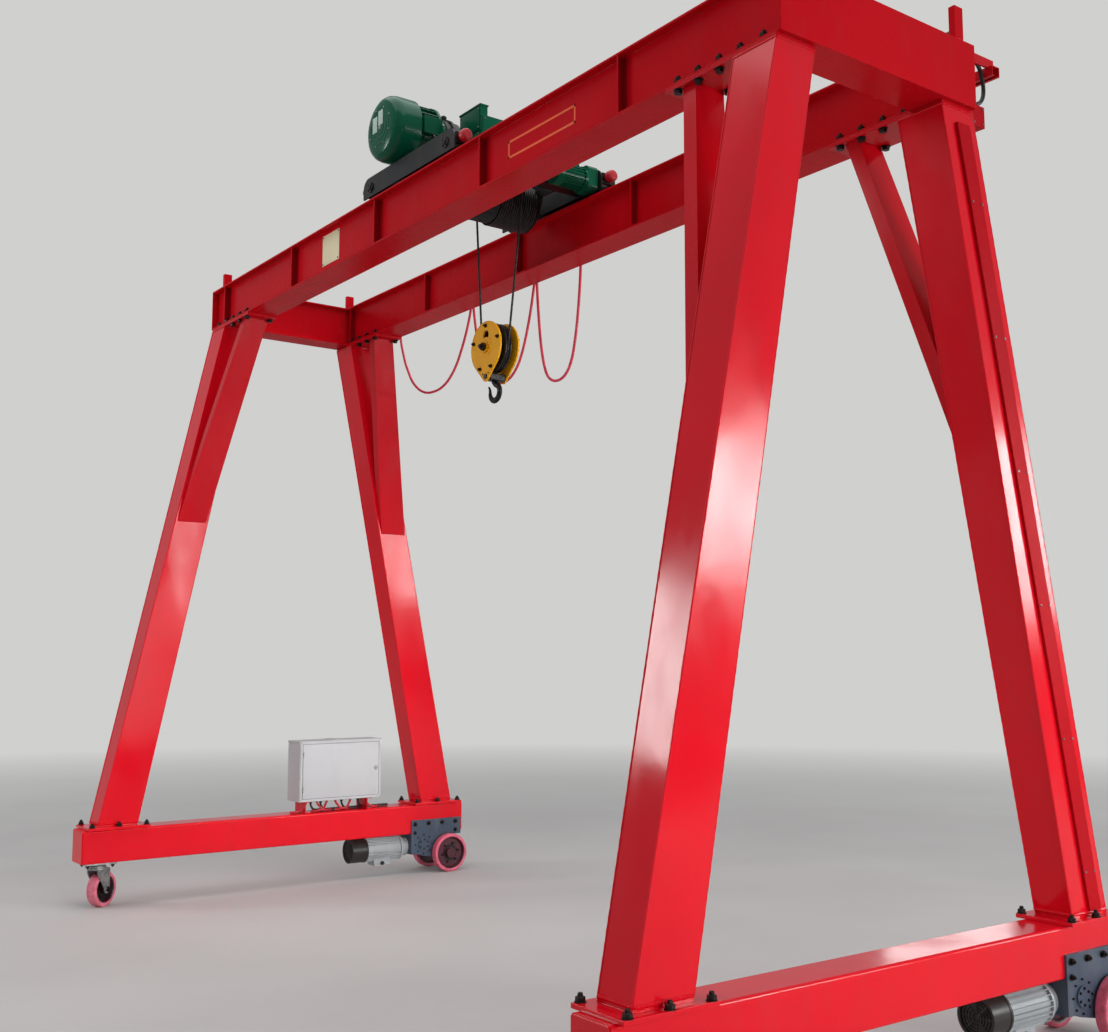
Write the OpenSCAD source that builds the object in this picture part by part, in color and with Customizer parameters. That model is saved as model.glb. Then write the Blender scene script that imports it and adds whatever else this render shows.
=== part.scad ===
/* [Portal frame] */
// Distance between the centre lines of the two bottom beams
span = 4798; // [4200:10:5600]
// Length of each bottom beam
beam_len = 2560; // [2520:10:2800]
// Width of a bottom beam
beam_w = 180; // [170:2:200]
// Height of a bottom beam
beam_h = 190; // [150:5:230]
// Height of the bottom beams' undersides above the floor
beam_z = 260; // [256:2:300]
// Height of the leg heads above the floor
head_z = 3509; // [3400:1:3900]
// Distance between the outer edges of one pair of legs at the foot
leg_spread = 2390; // [2200:10:2440]
// Width of a leg's foot, along the bottom beam
leg_foot_w = 230; // [200:5:260]
// Width of a leg's head, along the bottom beam
leg_head_w = 185; // [160:5:200]
// Depth of a leg's foot, across the bottom beam
leg_foot_d = 160; // [130:5:160]
// Depth of a leg's head, across the bottom beam
leg_head_d = 205; // [180:5:230]
// Length of the flange under each leg
leg_flange_l = 360; // [320:10:400]
// Width of the flange under each leg, across the bottom beam
leg_flange_w = 240; // [200:5:260]
// Thickness of the flange under each leg
leg_flange_t = 16; // [10:1:25]
// Height above the floor at which the knee braces start
brace_foot_z = 2260; // [2000:10:2600]
// Distance from the frame's outer face to the far edge of a brace's head
brace_reach = 505; // [460:5:540]
// Thickness of a knee brace along the span
brace_t = 65; // [40:5:80]
// Width of a knee brace's head
brace_head_w = 140; // [90:5:150]
// Length of the plate on top of each leg and brace
head_plate_l = 560; // [545:5:700]
// Thickness of the plate on top of each leg and brace
head_plate_t = 15; // [10:1:25]

/* [Girders] */
// Distance between the two girders, and the rails on them
gauge = 880; // [860:10:940]
// Height of a girder
girder_h = 252; // [220:2:300]
// Width of a girder's flanges
girder_w = 185; // [170:5:200]
// Width over the two webs of a girder
web_w = 110; // [90:5:130]
// Thickness of the girders' flanges
flange_t = 10; // [6:1:14]
// Depth of an end beam along the span
end_beam_d = 160; // [140:5:200]
// Thickness of the cover plates on the girder ends
end_plate_t = 8; // [5:1:12]
// Distance from the frame's outer face to the first web stiffener
rib_first = 858; // [650:1:950]
// Distance between web stiffeners
rib_pitch = 980; // [800:5:1200]
// Width of a rail
rail_w = 40; // [30:2:44]
// Height of a rail
rail_h = 40; // [30:2:60]
// Thickness of a rail stop along the rail
stop_t = 28; // [15:1:35]
// Height of a rail stop above the girder
stop_h = 129; // [120:1:140]

/* [Trolley] */
// Position of the trolley along the span, from mid span
home_x = -82; // [-300:2:300]
// Distance between the trolley's axles
wheel_base = 740; // [720:10:780]
// Tread diameter of the trolley wheels
wheel_d = 112; // [104:1:116]
// Height of the trolley wheels' flanges over their tread
wheel_flange_h = 6; // [4:1:8]
// Diameter of the trolley wheels' axles
axle_d = 30; // [20:1:40]
// Distance from a trolley axle to the end of a side channel
channel_over = 80; // [80:1:110]
// Width of a trolley side channel
channel_w = 90; // [86:1:100]
// Height of a trolley side channel
channel_h = 105; // [100:1:115]
// Thickness of the trolley's plates
plate_t = 8; // [5:1:9]
// Distance between the centres of the trolley's cross members
cross_pitch = 520; // [500:10:560]
// Width of a cross member
cross_w = 80; // [60:5:90]
// Height of a cross member
cross_h = 85; // [70:5:90]
// Length of a buffer
buffer_l = 47; // [30:1:60]
// Diameter of a buffer
buffer_d = 60; // [40:2:70]

/* [Hoist] */
// Distance from the drum's axis up to the side channels' tops
drum_drop = 130; // [125:1:150]
// Diameter of the drum over its groove ridges
drum_d = 236; // [220:1:240]
// Diameter of the drum's end flanges
drum_flange_d = 250; // [246:2:260]
// Length of the drum over its end flanges
drum_l = 372; // [340:2:380]
// Position of the drum's end nearer the gearbox
drum_y = -122; // [-126:1:-100]
// Diameter of the hoist rope
rope_d = 11; // [8:1:12]
// Distance between the drum's grooves
groove_pitch = 14; // [13:1:18]
// Diameter of the drum's shaft
shaft_d = 70; // [50:2:80]
// Diameter of the hoist motor's casing
motor_d = 336; // [300:2:340]
// Length of the hoist motor
motor_l = 330; // [300:2:350]
// Distance of the hoist motor's axis behind the drum's axis
motor_back = 146; // [130:2:160]
// Height of the hoist motor's axis above the side channels' tops
motor_lift = 175; // [173:1:200]
// Length of the rounded cowl at the back of the hoist motor
cowl_l = 150; // [120:5:170]

/* [Hook block] */
// Height of the sheave's axis above the floor
sheave_z = 3022; // [2700:1:3100]
// Diameter of the sheave at the centre of the rope
sheave_d = 240; // [220:2:244]
// Position of the hook block across the span
block_y = 50; // [40:2:60]
// Distance between the hook block's cheek plates
cheek_gap = 100; // [84:1:110]
// Thickness of a cheek plate
cheek_t = 8; // [5:1:12]
// Distance from the sheave's axis down to the crosshead's axis
crosshead_drop = 153; // [150:1:180]
// Distance from the crosshead's axis down to the centre of the hook's bowl
bowl_drop = 74; // [70:1:90]
// Radius of the hook's bowl along the middle of the forging
bowl_r = 44; // [40:1:50]
// Diameter of the hook's shank
shank_d = 34; // [26:1:36]

/* [Running gear] */
// Diameter of a caster wheel
caster_d = 200; // [180:2:204]
// Width of a caster wheel
caster_w = 60; // [40:2:70]
// Distance from a caster's swivel axis back to its axle
caster_trail = 45; // [30:1:55]
// Angle at which the casters stand
caster_yaw = 35; // [0:5:60]
// Diameter of a driven wheel
drive_d = 250; // [220:2:250]
// Width of a driven wheel
drive_w = 50; // [40:2:60]
// Diameter of the driven wheels' axle
drive_axle_d = 30; // [24:1:40]
// Diameter of a drive motor over its fins
drive_motor_d = 160; // [130:2:164]
// Length of a drive motor
drive_motor_l = 419; // [360:1:440]

/* [Festoon and electrics] */
// Position of the festoon rail, from mid gauge
festoon_y = 680; // [660:2:720]
// Width of the festoon rail
festoon_w = 46; // [40:1:56]
// Height of the festoon rail
festoon_h = 40; // [36:1:50]
// Diameter of the festoon cable
cable_d = 16; // [10:1:18]
// Width of the control cabinet
cabinet_w = 581; // [400:1:640]
// Height of the control cabinet
cabinet_h = 381; // [300:1:600]
// Depth of the control cabinet
cabinet_d = 180; // [150:5:190]

/* [Hidden] */
$fn = 64;

// Clearance between a turning shaft and its bore, on the radius
fit = 0.1;
// Gap between pieces that only rest on each other
seat = 0.3;
// Clearance kept between pieces that pass each other
run = 5;

outer_x = (span + beam_w) / 2;
beam_top = beam_z + beam_h;
girder_z = head_z + head_plate_t;
girder_top = girder_z + girder_h;
girder_end = outer_x - end_plate_t;
rail_top = girder_top + rail_h;
rail_end = outer_x - stop_t;
rib_t = 8;
rib_reach = (girder_w - web_w) / 2 - 1.5;
rib_count = floor((2 * outer_x - rib_first - end_beam_d) / rib_pitch) + 1;
head_plate_inset = 20;
tube_r = 12;

leg_foot_y = leg_spread / 2;
leg_head_y = gauge / 2 + leg_head_w / 2;
leg_foot_inset = 10;
leg_flange_over = 60;

// The underside of a knee brace, which is its edge towards mid span
brace_edge = [leg_in_x(brace_foot_z), outer_x - brace_reach];
brace_slope = (brace_edge[0] - brace_edge[1]) / (head_z - brace_foot_z);
leg_slope = (leg_foot_d - leg_head_d + leg_foot_inset - head_plate_inset) / (head_z - beam_top);
brace_upper_z = brace_foot_z + brace_t / (brace_slope + leg_slope);

channel_l = wheel_base + 2 * channel_over;
axle_z = rail_top + wheel_d / 2;
axle_boss_r = 27;
axle_boss_t = 6;
channel_z = rail_top + 9;
channel_top = channel_z + channel_h;
tread_w = rail_w + 2 * run;
wheel_w = channel_w - 2 * plate_t - 2 * run - 1;
cross_top = channel_top - run;
inner_face = gauge / 2 - channel_w / 2;
buffer_z = channel_z + channel_h * 0.56;

drum_z = channel_top - drum_drop;
drum_flange_t = 12;
drum_end = drum_y + drum_l;
bearing_gap = 6;
bearing_t = 12;
bearing_y = [drum_y - bearing_gap - bearing_t, drum_end + bearing_gap + 2];
groove_n = floor((drum_l - 2 * drum_flange_t - 10) / groove_pitch);
groove_depth = 2;
rope_r = rope_d / 2;
wind_r = drum_d / 2 + rope_r + seat;
gearbox_t = 88;
gearbox_y = bearing_y[0] - gearbox_t;
motor_z = channel_top + motor_lift;
rope_fall_y = 10;
anchor_x = 185;
anchor_y = 90;
anchor_z = cross_top - cross_h - 40;
anchor_r = 13;
box_face_x = cross_pitch / 2 - 30;

sheave_r = sheave_d / 2;
sheave_rim = sheave_r + 8;
cheek_r = sheave_rim + 7;
tongue_r = 26;
block_axle_r = 20;
crosshead_z = sheave_z - crosshead_drop;
bowl_z = crosshead_z - bowl_drop;
trunnion_r = 14;
crosshead_h = 36;

caster_y = -beam_len / 2 + 120;
caster_plate_t = 10;
race_h = 22;
crown_h = 8;
fork_t = 6;
fork_gap = caster_w + 6;
caster_axle_r = 10;

drive_y = beam_len / 2 - drive_d / 2;
hub_y = drive_y - 183;
housing_back = hub_y - 94;
hub_z = 190;
hub_r = 75;
housing_w = beam_w;
cheek_plate_t = 10;
drive_wheel_x = housing_w / 2 + cheek_plate_t + 8;
motor_axis_z = beam_z - drive_motor_d / 2 - 6;

festoon_top = girder_top - 38;
festoon_z = festoon_top - festoon_h;
festoon_wall = 3;
festoon_slot = 20;
festoon_fixed_x = -2200;
festoon_start = festoon_fixed_x - 100;
carrier_1_x = -1285;
carrier_2_x = -605;
tow_x = -165;
clamp_z = festoon_z - 58 + seat;
clamp_h = 31;
bracket_pitch = 1100;
bracket_t = 8;
end_bracket_x = outer_x - 40;

cabinet_y = 60;
cabinet_z = beam_top + 73;
cabinet_back = 9 - outer_x;

// Routes of the cables, as distance along the rail and height
loop_1 = [
    [-2190, 3640], [-2190, 3628], [-2184, 3600], [-2170, 3545], [-2145, 3480], [-2115, 3410], [-2075, 3345],
    [-2030, 3280], [-1975, 3228], [-1905, 3184], [-1825, 3157], [-1740, 3150], [-1655, 3158],
    [-1575, 3187], [-1508, 3234], [-1455, 3290], [-1412, 3355], [-1372, 3425], [-1340, 3492],
    [-1315, 3555], [-1301, 3600], [-1295, 3628], [-1295, 3640]
];
loop_2 = [
    [-1275, 3640], [-1275, 3628], [-1269, 3595], [-1258, 3535], [-1242, 3462], [-1220, 3385], [-1190, 3305],
    [-1155, 3230], [-1112, 3160], [-1060, 3110], [-1000, 3080], [-940, 3072], [-880, 3082],
    [-825, 3112], [-775, 3162], [-735, 3230], [-703, 3305], [-675, 3385], [-652, 3462],
    [-634, 3535], [-621, 3595], [-615, 3628], [-615, 3640]
];
loop_3 = [
    [-595, 3640], [-595, 3628], [-593, 3595], [-588, 3530], [-580, 3445], [-570, 3355], [-558, 3265],
    [-542, 3180], [-520, 3100], [-488, 3035], [-442, 3000], [-388, 2990], [-335, 3002],
    [-290, 3038], [-255, 3100], [-232, 3180], [-214, 3265], [-200, 3355], [-189, 3445],
    [-181, 3530], [-177, 3595], [-175, 3628], [-175, 3640]
];
// Route of the supply cable, as distance across the gauge and height
supply_route = [
    [596, 3757], [614, 3750], [630, 3738], [641, 3720], [647, 3698], [654, 3676], [656, 3652],
    [653, 3628], [643, 3606], [627, 3590], [610, 3582], [600, 3572], [600, 3560]
];
supply_x = end_bracket_x - bracket_t / 2 - cable_d / 2 - seat;

function mix(a, b, t) = a + (b - a) * t;
function leg_t(z) = (z - beam_top) / (head_z - beam_top);
function leg_out_y(z) = mix(leg_foot_y, leg_head_y, leg_t(z));
function leg_in_y(z) = leg_out_y(z) - mix(leg_foot_w, leg_head_w, leg_t(z));
function leg_mid_y(z) = (leg_out_y(z) + leg_in_y(z)) / 2;
function leg_out_x(z) = outer_x - mix(leg_foot_inset, head_plate_inset, leg_t(z));
function leg_in_x(z) = leg_out_x(z) - mix(leg_foot_d, leg_head_d, leg_t(z));

// Extrudes an outline drawn in X and Z from y0 to y1
module along_y(y0, y1) {
    translate([0, y1, 0]) rotate([90, 0, 0]) linear_extrude(y1 - y0) children();
}

// Extrudes an outline drawn in Y and Z from x0 to x1
module along_x(x0, x1) {
    translate([x0, 0, 0]) rotate([90, 0, 90]) linear_extrude(x1 - x0) children();
}

// A round bar along X or Y
module bar_x(x0, x1, r) { translate([x0, 0, 0]) rotate([0, 90, 0]) cylinder(r = r, h = x1 - x0); }
module bar_y(y0, y1, r) { translate([0, y0, 0]) rotate([-90, 0, 0]) cylinder(r = r, h = y1 - y0); }

// Turns a profile of radius and length about an axis along X or Y
module turn_y() { rotate([-90, 0, 0]) rotate_extrude() children(); }
module turn_x() { rotate([0, 90, 0]) rotate_extrude() children(); }

module block(low, high) { translate(low) cube(high - low); }

module rounded_rect(w, h, r) {
    square([w - 2 * r, h], center = true);
    square([w, h - 2 * r], center = true);
    for (x = [-1, 1], y = [-1, 1]) translate([x * (w / 2 - r), y * (h / 2 - r)]) circle(r);
}

// Two circles and the straight flanks that join them
module belt(a, ra, b, rb) {
    gap = norm(b - a);
    lean = atan2(b[1] - a[1], b[0] - a[0]);
    turn = acos((ra - rb) / gap);
    left = [cos(lean + turn), sin(lean + turn)];
    right = [cos(lean - turn), sin(lean - turn)];
    translate(a) circle(ra);
    translate(b) circle(rb);
    polygon([a + ra * left, b + rb * left, b + rb * right, a + ra * right]);
}

// A tube with elliptical rings along a path drawn in X and Z
module sweep(path, in_plane, across, sides) {
    n = len(path);
    heading = [for (i = [0 : n - 1])
        let (d = path[min(i + 1, n - 1)] - path[max(i - 1, 0)]) d / norm(d)];
    rings = [for (i = [0 : n - 1], k = [0 : sides - 1])
        let (a = 360 * k / sides, p = path[i], h = heading[i], r = in_plane[i] * cos(a))
        [p[0] - h[1] * r, across[i] * sin(a), p[1] + h[0] * r]];
    skin = [for (i = [0 : n - 2], k = [0 : sides - 1])
        let (m = (k + 1) % sides, lo = i * sides, hi = lo + sides) [lo + k, lo + m, hi + m, hi + k]];
    first = [for (k = [sides - 1 : -1 : 0]) k];
    last = [for (k = [0 : sides - 1]) (n - 1) * sides + k];
    polyhedron(points = rings, faces = concat([first], skin, [last]), convexity = 6);
}

module cable(path) {
    radii = [for (p = path) cable_d / 2];
    sweep(path, radii, radii, 8);
}

module bottom_beams() {
    color("crimson") for (s = [-1, 1]) translate([s * span / 2, 0, beam_z + beam_h / 2]) {
        along_y(-beam_len / 2 + 6, beam_len / 2 - 6) rounded_rect(beam_w, beam_h, tube_r);
        for (e = [-1, 1]) {
            end = e * (beam_len / 2 - 3);
            along_y(end - 3, end + 3) rounded_rect(beam_w - 8, beam_h - 8, tube_r - 4);
        }
    }
}

// One leg of the near frame, on the side where Y is positive
module leg() {
    intersection() {
        along_y(0, beam_len / 2) polygon([
            [leg_in_x(beam_top + leg_flange_t), beam_top + leg_flange_t],
            [leg_out_x(beam_top + leg_flange_t), beam_top + leg_flange_t],
            [leg_out_x(head_z), head_z], [leg_in_x(head_z), head_z]
        ]);
        along_x(0, outer_x + beam_w) polygon([
            [leg_in_y(beam_top), beam_top], [leg_out_y(beam_top), beam_top],
            [leg_out_y(head_z), head_z], [leg_in_y(head_z), head_z]
        ]);
    }
    flange_y = leg_foot_y + leg_flange_over;
    block([(span - leg_flange_w) / 2, flange_y - leg_flange_l, beam_top],
        [(span + leg_flange_w) / 2, flange_y, beam_top + leg_flange_t]);
}

module four_ways() {
    for (x = [0, 1], y = [0, 1]) mirror([x, 0, 0]) mirror([0, y, 0]) children();
}

module legs() {
    color("crimson") four_ways() leg();
}

module knee_brace() {
    foot_w = mix(leg_foot_w, leg_head_w, leg_t(brace_foot_z)) - 24;
    foot_y = leg_mid_y(brace_foot_z);
    intersection() {
        along_y(0, beam_len / 2) polygon([
            [brace_edge[0] - fit, brace_foot_z], [leg_in_x(brace_upper_z) - fit, brace_upper_z],
            [brace_edge[1] + brace_t, head_z], [brace_edge[1], head_z]
        ]);
        along_x(0, outer_x) polygon([
            [foot_y - foot_w / 2, brace_foot_z], [foot_y + foot_w / 2, brace_foot_z],
            [leg_mid_y(head_z) + brace_head_w / 2, head_z], [leg_mid_y(head_z) - brace_head_w / 2, head_z]
        ]);
    }
}

module knee_braces() {
    color("firebrick") four_ways() knee_brace();
}

module leg_head_plates() {
    edge = outer_x - head_plate_inset;
    half = girder_w / 2;
    color("firebrick") four_ways()
        block([edge - head_plate_l, gauge / 2 - half, head_z], [edge, gauge / 2 + half, girder_z]);
}

// Outline of a box girder, standing on zero
module girder_outline(w, h, web) {
    for (z = [0, h - flange_t]) translate([-w / 2, z]) square([w, flange_t]);
    translate([-web / 2, 0]) square([web, h]);
}

module girder(y) {
    color("crimson") translate([0, y, girder_z]) {
        along_x(-girder_end, girder_end) girder_outline(girder_w, girder_h, web_w);
        for (i = [0 : rib_count - 1], s = [-1, 1]) {
            x = outer_x - rib_first - i * rib_pitch;
            face = s * web_w / 2;
            block([x - rib_t / 2, min(face, face + s * rib_reach), flange_t],
                [x + rib_t / 2, max(face, face + s * rib_reach), girder_h - flange_t]);
        }
    }
}

module front_girder() { girder(-gauge / 2); }
module back_girder() { girder(gauge / 2); }

module end_beams() {
    flange_y = gauge / 2 - girder_w / 2;
    web_y = gauge / 2 - web_w / 2;
    color("crimson") for (s = [0, 1]) mirror([s, 0, 0]) {
        translate([girder_end - end_beam_d / 2, 0, girder_z]) {
            along_y(-flange_y, flange_y) girder_outline(end_beam_d, girder_h, web_w);
            block([-web_w / 2, -web_y, flange_t], [web_w / 2, web_y, girder_h - flange_t]);
        }
        block([girder_end, -leg_head_y, girder_z], [outer_x, leg_head_y, girder_top]);
    }
}

module trolley_rails() {
    chamfer = 4;
    half = rail_w / 2;
    color("dimgray") for (s = [-1, 1]) translate([0, s * gauge / 2, girder_top])
        along_x(-rail_end, rail_end) polygon([
            [-half, 0], [half, 0], [half, rail_h - chamfer], [half - chamfer, rail_h],
            [chamfer - half, rail_h], [-half, rail_h - chamfer]
        ]);
}

module rail_stops() {
    color("crimson") four_ways()
        block([rail_end, gauge / 2 - 25, girder_top], [outer_x, gauge / 2 + 25, girder_top + stop_h]);
}

// A caster's own frame: swivel axis at the origin, trailing towards +Y
module at_caster(s) { translate([s * span / 2, caster_y, 0]) rotate(caster_yaw) children(); }

module caster_plates() {
    color("darkgray") for (s = [-1, 1]) translate([s * span / 2, caster_y, 0]) {
        block([-70, -90, beam_z - caster_plate_t], [70, 90, beam_z]);
        translate([0, 0, beam_z - caster_plate_t - race_h / 2]) cylinder(d1 = 88, d2 = 104, h = race_h / 2);
        translate([0, 0, beam_z - caster_plate_t - race_h]) cylinder(r = 12, h = race_h);
    }
}

module caster_fork(s) {
    crown_z = beam_z - caster_plate_t - race_h;
    leg_top = crown_z - crown_h;
    color("dimgray") at_caster(s) {
        difference() {
            union() {
                translate([0, 0, crown_z]) cylinder(d = 96, h = race_h / 2 - 0.5);
                translate([0, 0, leg_top]) cylinder(d = 112, h = crown_h);
            }
            translate([0, 0, leg_top - 1]) cylinder(r = 12 + fit, h = race_h + crown_h);
        }
        block([-fork_gap / 2 - fork_t, -40, leg_top - 6], [fork_gap / 2 + fork_t, 68, leg_top]);
        for (side = [-1, 1]) {
            inner = side * (fork_gap / 2 + fork_t / 2);
            along_x(inner - fork_t / 2, inner + fork_t / 2) {
                translate([caster_trail, caster_d / 2]) circle(24);
                polygon([
                    [-40, leg_top], [68, leg_top], [caster_trail + 24, caster_d / 2],
                    [caster_trail - 24, caster_d / 2], [-40, leg_top - 22]
                ]);
            }
        }
        translate([0, caster_trail, caster_d / 2]) {
            bar_x(-fork_gap / 2 - fork_t - 8, fork_gap / 2 + fork_t + 8, caster_axle_r);
            for (side = [-1, 1]) translate([side * (fork_gap / 2 + fork_t + 4) - 4, 0, 0]) bar_x(0, 8, 16);
        }
    }
}

module near_caster_fork() { caster_fork(1); }
module far_caster_fork() { caster_fork(-1); }

// Half profile of a wheel: radius along x, width along y
module wheel_profile(r, w, tread, hub_r, hub_w, bore_r) {
    edge = 8;
    rim = r - tread;
    web = w * 0.3;
    polygon([
        [bore_r, -hub_w / 2], [hub_r, -hub_w / 2], [hub_r, -web / 2], [rim - 14, -web / 2],
        [rim - 6, -w / 2 + 4], [rim, -w / 2], [r - edge, -w / 2], [r - edge * 0.3, -w / 2 + edge * 0.3],
        [r, -w / 2 + edge], [r, w / 2 - edge], [r - edge * 0.3, w / 2 - edge * 0.3], [r - edge, w / 2],
        [rim, w / 2], [rim - 6, w / 2 - 4], [rim - 14, web / 2], [hub_r, web / 2],
        [hub_r, hub_w / 2], [bore_r, hub_w / 2]
    ]);
}

module caster_wheel(s) {
    color("pink") at_caster(s) translate([0, caster_trail, caster_d / 2])
        turn_x() wheel_profile(caster_d / 2, caster_w, 22, 26, fork_gap - 1, caster_axle_r + fit);
}

module near_caster_wheel() { caster_wheel(1); }
module far_caster_wheel() { caster_wheel(-1); }

module drive_outline() {
    nose_r = 46;
    belly = hub_z - 62;
    translate([housing_back, beam_z - 20]) square([beam_len / 2 - 16 - housing_back, 110]);
    translate([housing_back, belly]) square([hub_y - housing_back, beam_z - belly]);
    belt([hub_y, hub_z], hub_r, [drive_y, drive_d / 2], nose_r);
    polygon([
        [hub_y, hub_z], [drive_y, drive_d / 2], [drive_y + nose_r, drive_d / 2],
        [drive_y + nose_r + 24, beam_z], [hub_y, beam_z]
    ]);
}

module drive_housings() {
    color("slategray") for (s = [-1, 1]) translate([s * span / 2, 0, 0]) difference() {
        union() {
            for (side = [-1, 1]) {
                middle = side * (housing_w + cheek_plate_t) / 2;
                along_x(middle - cheek_plate_t / 2, middle + cheek_plate_t / 2) drive_outline();
                translate([middle + side * 4, hub_y, hub_z]) bar_x(-9, 9, 40);
            }
            intersection() {
                along_x(-housing_w / 2, housing_w / 2) drive_outline();
                block([-housing_w, 0, 0], [housing_w, beam_len, beam_z]);
            }
        }
        translate([0, drive_y, drive_d / 2]) bar_x(-beam_w, beam_w, drive_axle_d / 2 + fit);
    }
}

// A motor casing with cooling fins, seen along its axis
module finned_outline(r, depth, count) {
    circle(r - depth);
    for (i = [0 : count - 1]) rotate(360 * i / count) translate([0, -1.5]) square([r, 3]);
}

module drive_motors() {
    r = drive_motor_d / 2;
    back = housing_back - drive_motor_l;
    shield_t = 12;
    neck = housing_back - 48;
    cowl = back + 112;
    color("silver") for (s = [-1, 1]) translate([s * span / 2, 0, motor_axis_z]) {
        bar_y(neck, housing_back, 60);
        along_y(cowl, neck) finned_outline(r, 12, 24);
        for (y = [neck, cowl]) bar_y(y - shield_t, y, r);
        difference() {
            bar_y(back, cowl, r - 2);
            bar_y(back - 1, back + 9, r - 12);
        }
        block([-45, neck - 202, -r - 22], [45, neck - 82, 20 - r]);
    }
}

module drive_wheels(s) {
    color("pink") translate([s * span / 2, drive_y, drive_d / 2]) {
        bar_x(-drive_wheel_x - drive_w, drive_wheel_x + drive_w, drive_axle_d / 2);
        for (side = [-1, 1]) translate([side * (drive_wheel_x + drive_w / 2), 0, 0])
            turn_x() wheel_profile(drive_d / 2, drive_w, 20, 34, drive_w + 6, 0);
    }
}

module near_drive_wheels() { drive_wheels(1); }
module far_drive_wheels() { drive_wheels(-1); }

module at_trolley() { translate([home_x, 0, 0]) children(); }

// The bent plate of a side channel
module channel_shell(half, corner) {
    inner = half - plate_t;
    intersection() {
        along_x(-channel_l / 2, channel_l / 2) difference() {
            translate([-half, channel_z]) square([channel_w, channel_h]);
            translate([-inner, channel_z - 1]) square([2 * inner, channel_h + 1 - plate_t]);
        }
        along_y(-half, half) {
            translate([-channel_l / 2, channel_z]) square([channel_l, channel_h - corner]);
            translate([corner - channel_l / 2, channel_z]) square([channel_l - 2 * corner, channel_h]);
            for (s = [-1, 1]) translate([s * (channel_l / 2 - corner), channel_top - corner]) circle(corner);
        }
    }
}

// A side channel of the trolley, open below and over its wheels, with rounded upper corners
module side_channel() {
    half = channel_w / 2;
    inner = half - plate_t;
    corner = 55;
    window = wheel_d / 2 + wheel_flange_h + run;
    difference() {
        channel_shell(half, corner);
        for (s = [-1, 1]) translate([s * wheel_base / 2, 0, channel_top])
            block([-window, -inner, -plate_t - 1], [window, inner, 1]);
    }
    for (s = [-1, 1]) {
        end = s * (channel_l - plate_t) / 2;
        block([end - plate_t / 2, -inner, buffer_z - 34], [end + plate_t / 2, inner, buffer_z + 20]);
        translate([s * wheel_base / 2, 0, axle_z]) {
            bar_y(-half - axle_boss_t, half + axle_boss_t, axle_d / 2);
            for (y = [-half - axle_boss_t, half]) bar_y(y, y + axle_boss_t, axle_boss_r);
        }
    }
}

// A plate that carries one end of the drum, hung between the cross members
module bearing_plate(y) {
    inner = cross_pitch / 2 - cross_w / 2;
    along_y(y, y + bearing_t) difference() {
        union() {
            translate([-inner, cross_top - cross_h]) square([2 * inner, cross_h]);
            belt([0, cross_top - 62], 120, [0, drum_z], shaft_d / 2 + 38);
        }
        translate([-inner, cross_top]) square([2 * inner, 200]);
        translate([0, drum_z]) circle(shaft_d / 2 + fit);
    }
}

module tow_arm() {
    far = festoon_y + festoon_w / 2 + 27;
    middle = tow_x - home_x;
    start = gauge / 2 + channel_w / 2;
    block([middle - 20, start, channel_z + 10], [middle + 20, far + 8, channel_z + 18]);
    block([middle - 20, far, clamp_z], [middle + 20, far + 8, channel_z + 18]);
    block([middle - 15, festoon_y - 25, clamp_z], [middle + 15, far, clamp_z + clamp_h]);
}

module rope_anchor() {
    inner = cross_pitch / 2 - cross_w / 2;
    block([anchor_x - 22, anchor_y - 15, cross_top - cross_h], [inner, anchor_y + 15, cross_top - 20]);
    translate([anchor_x, anchor_y, anchor_z]) cylinder(r = anchor_r, h = cross_top - cross_h - anchor_z);
}

module trolley_frame() {
    hub_start = bearing_y[1] + bearing_t;
    color("dimgray") at_trolley() {
        for (s = [-1, 1]) {
            translate([0, s * gauge / 2, 0]) side_channel();
            translate([s * cross_pitch / 2, 0, cross_top - cross_h / 2])
                along_y(-inner_face, inner_face) rounded_rect(cross_w, cross_h, 8);
        }
        for (y = bearing_y) bearing_plate(y);
        translate([0, 0, drum_z]) difference() {
            bar_y(hub_start, hub_start + 22, shaft_d / 2 + 26);
            bar_y(0, gauge / 2, shaft_d / 2 + fit);
        }
        tow_arm();
        rope_anchor();
    }
}

module trolley_wheel(sx, sy) {
    r = wheel_d / 2 - seat;
    side = wheel_w / 2;
    tread = tread_w / 2;
    hub = channel_w / 2 - plate_t - 1;
    color("gray") at_trolley() translate([sx * wheel_base / 2, sy * gauge / 2, axle_z]) turn_y() polygon([
        [axle_d / 2 + fit, -hub], [28, -hub], [28, -side + 6], [42, -side + 6], [48, -side],
        [r + wheel_flange_h - 2, -side], [r + wheel_flange_h, -side + 2], [r + wheel_flange_h, -tread - 1],
        [r, -tread], [r, tread], [r + wheel_flange_h, tread + 1], [r + wheel_flange_h, side - 2],
        [r + wheel_flange_h - 2, side], [48, side], [42, side - 6], [28, side - 6], [28, hub],
        [axle_d / 2 + fit, hub]
    ]);
}

module trolley_wheel_1() { trolley_wheel(1, -1); }
module trolley_wheel_2() { trolley_wheel(-1, -1); }
module trolley_wheel_3() { trolley_wheel(1, 1); }
module trolley_wheel_4() { trolley_wheel(-1, 1); }

module trolley_buffers() {
    r = buffer_d / 2;
    color("crimson") at_trolley() four_ways() translate([channel_l / 2, gauge / 2, buffer_z])
        turn_x() polygon([
            [0, 0], [r * 0.8, 0], [r * 0.8, 6], [r, 10], [r, buffer_l - 14], [r * 0.93, buffer_l - 6],
            [r * 0.72, buffer_l - 1], [r * 0.4, buffer_l], [0, buffer_l]
        ]);
}

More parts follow.
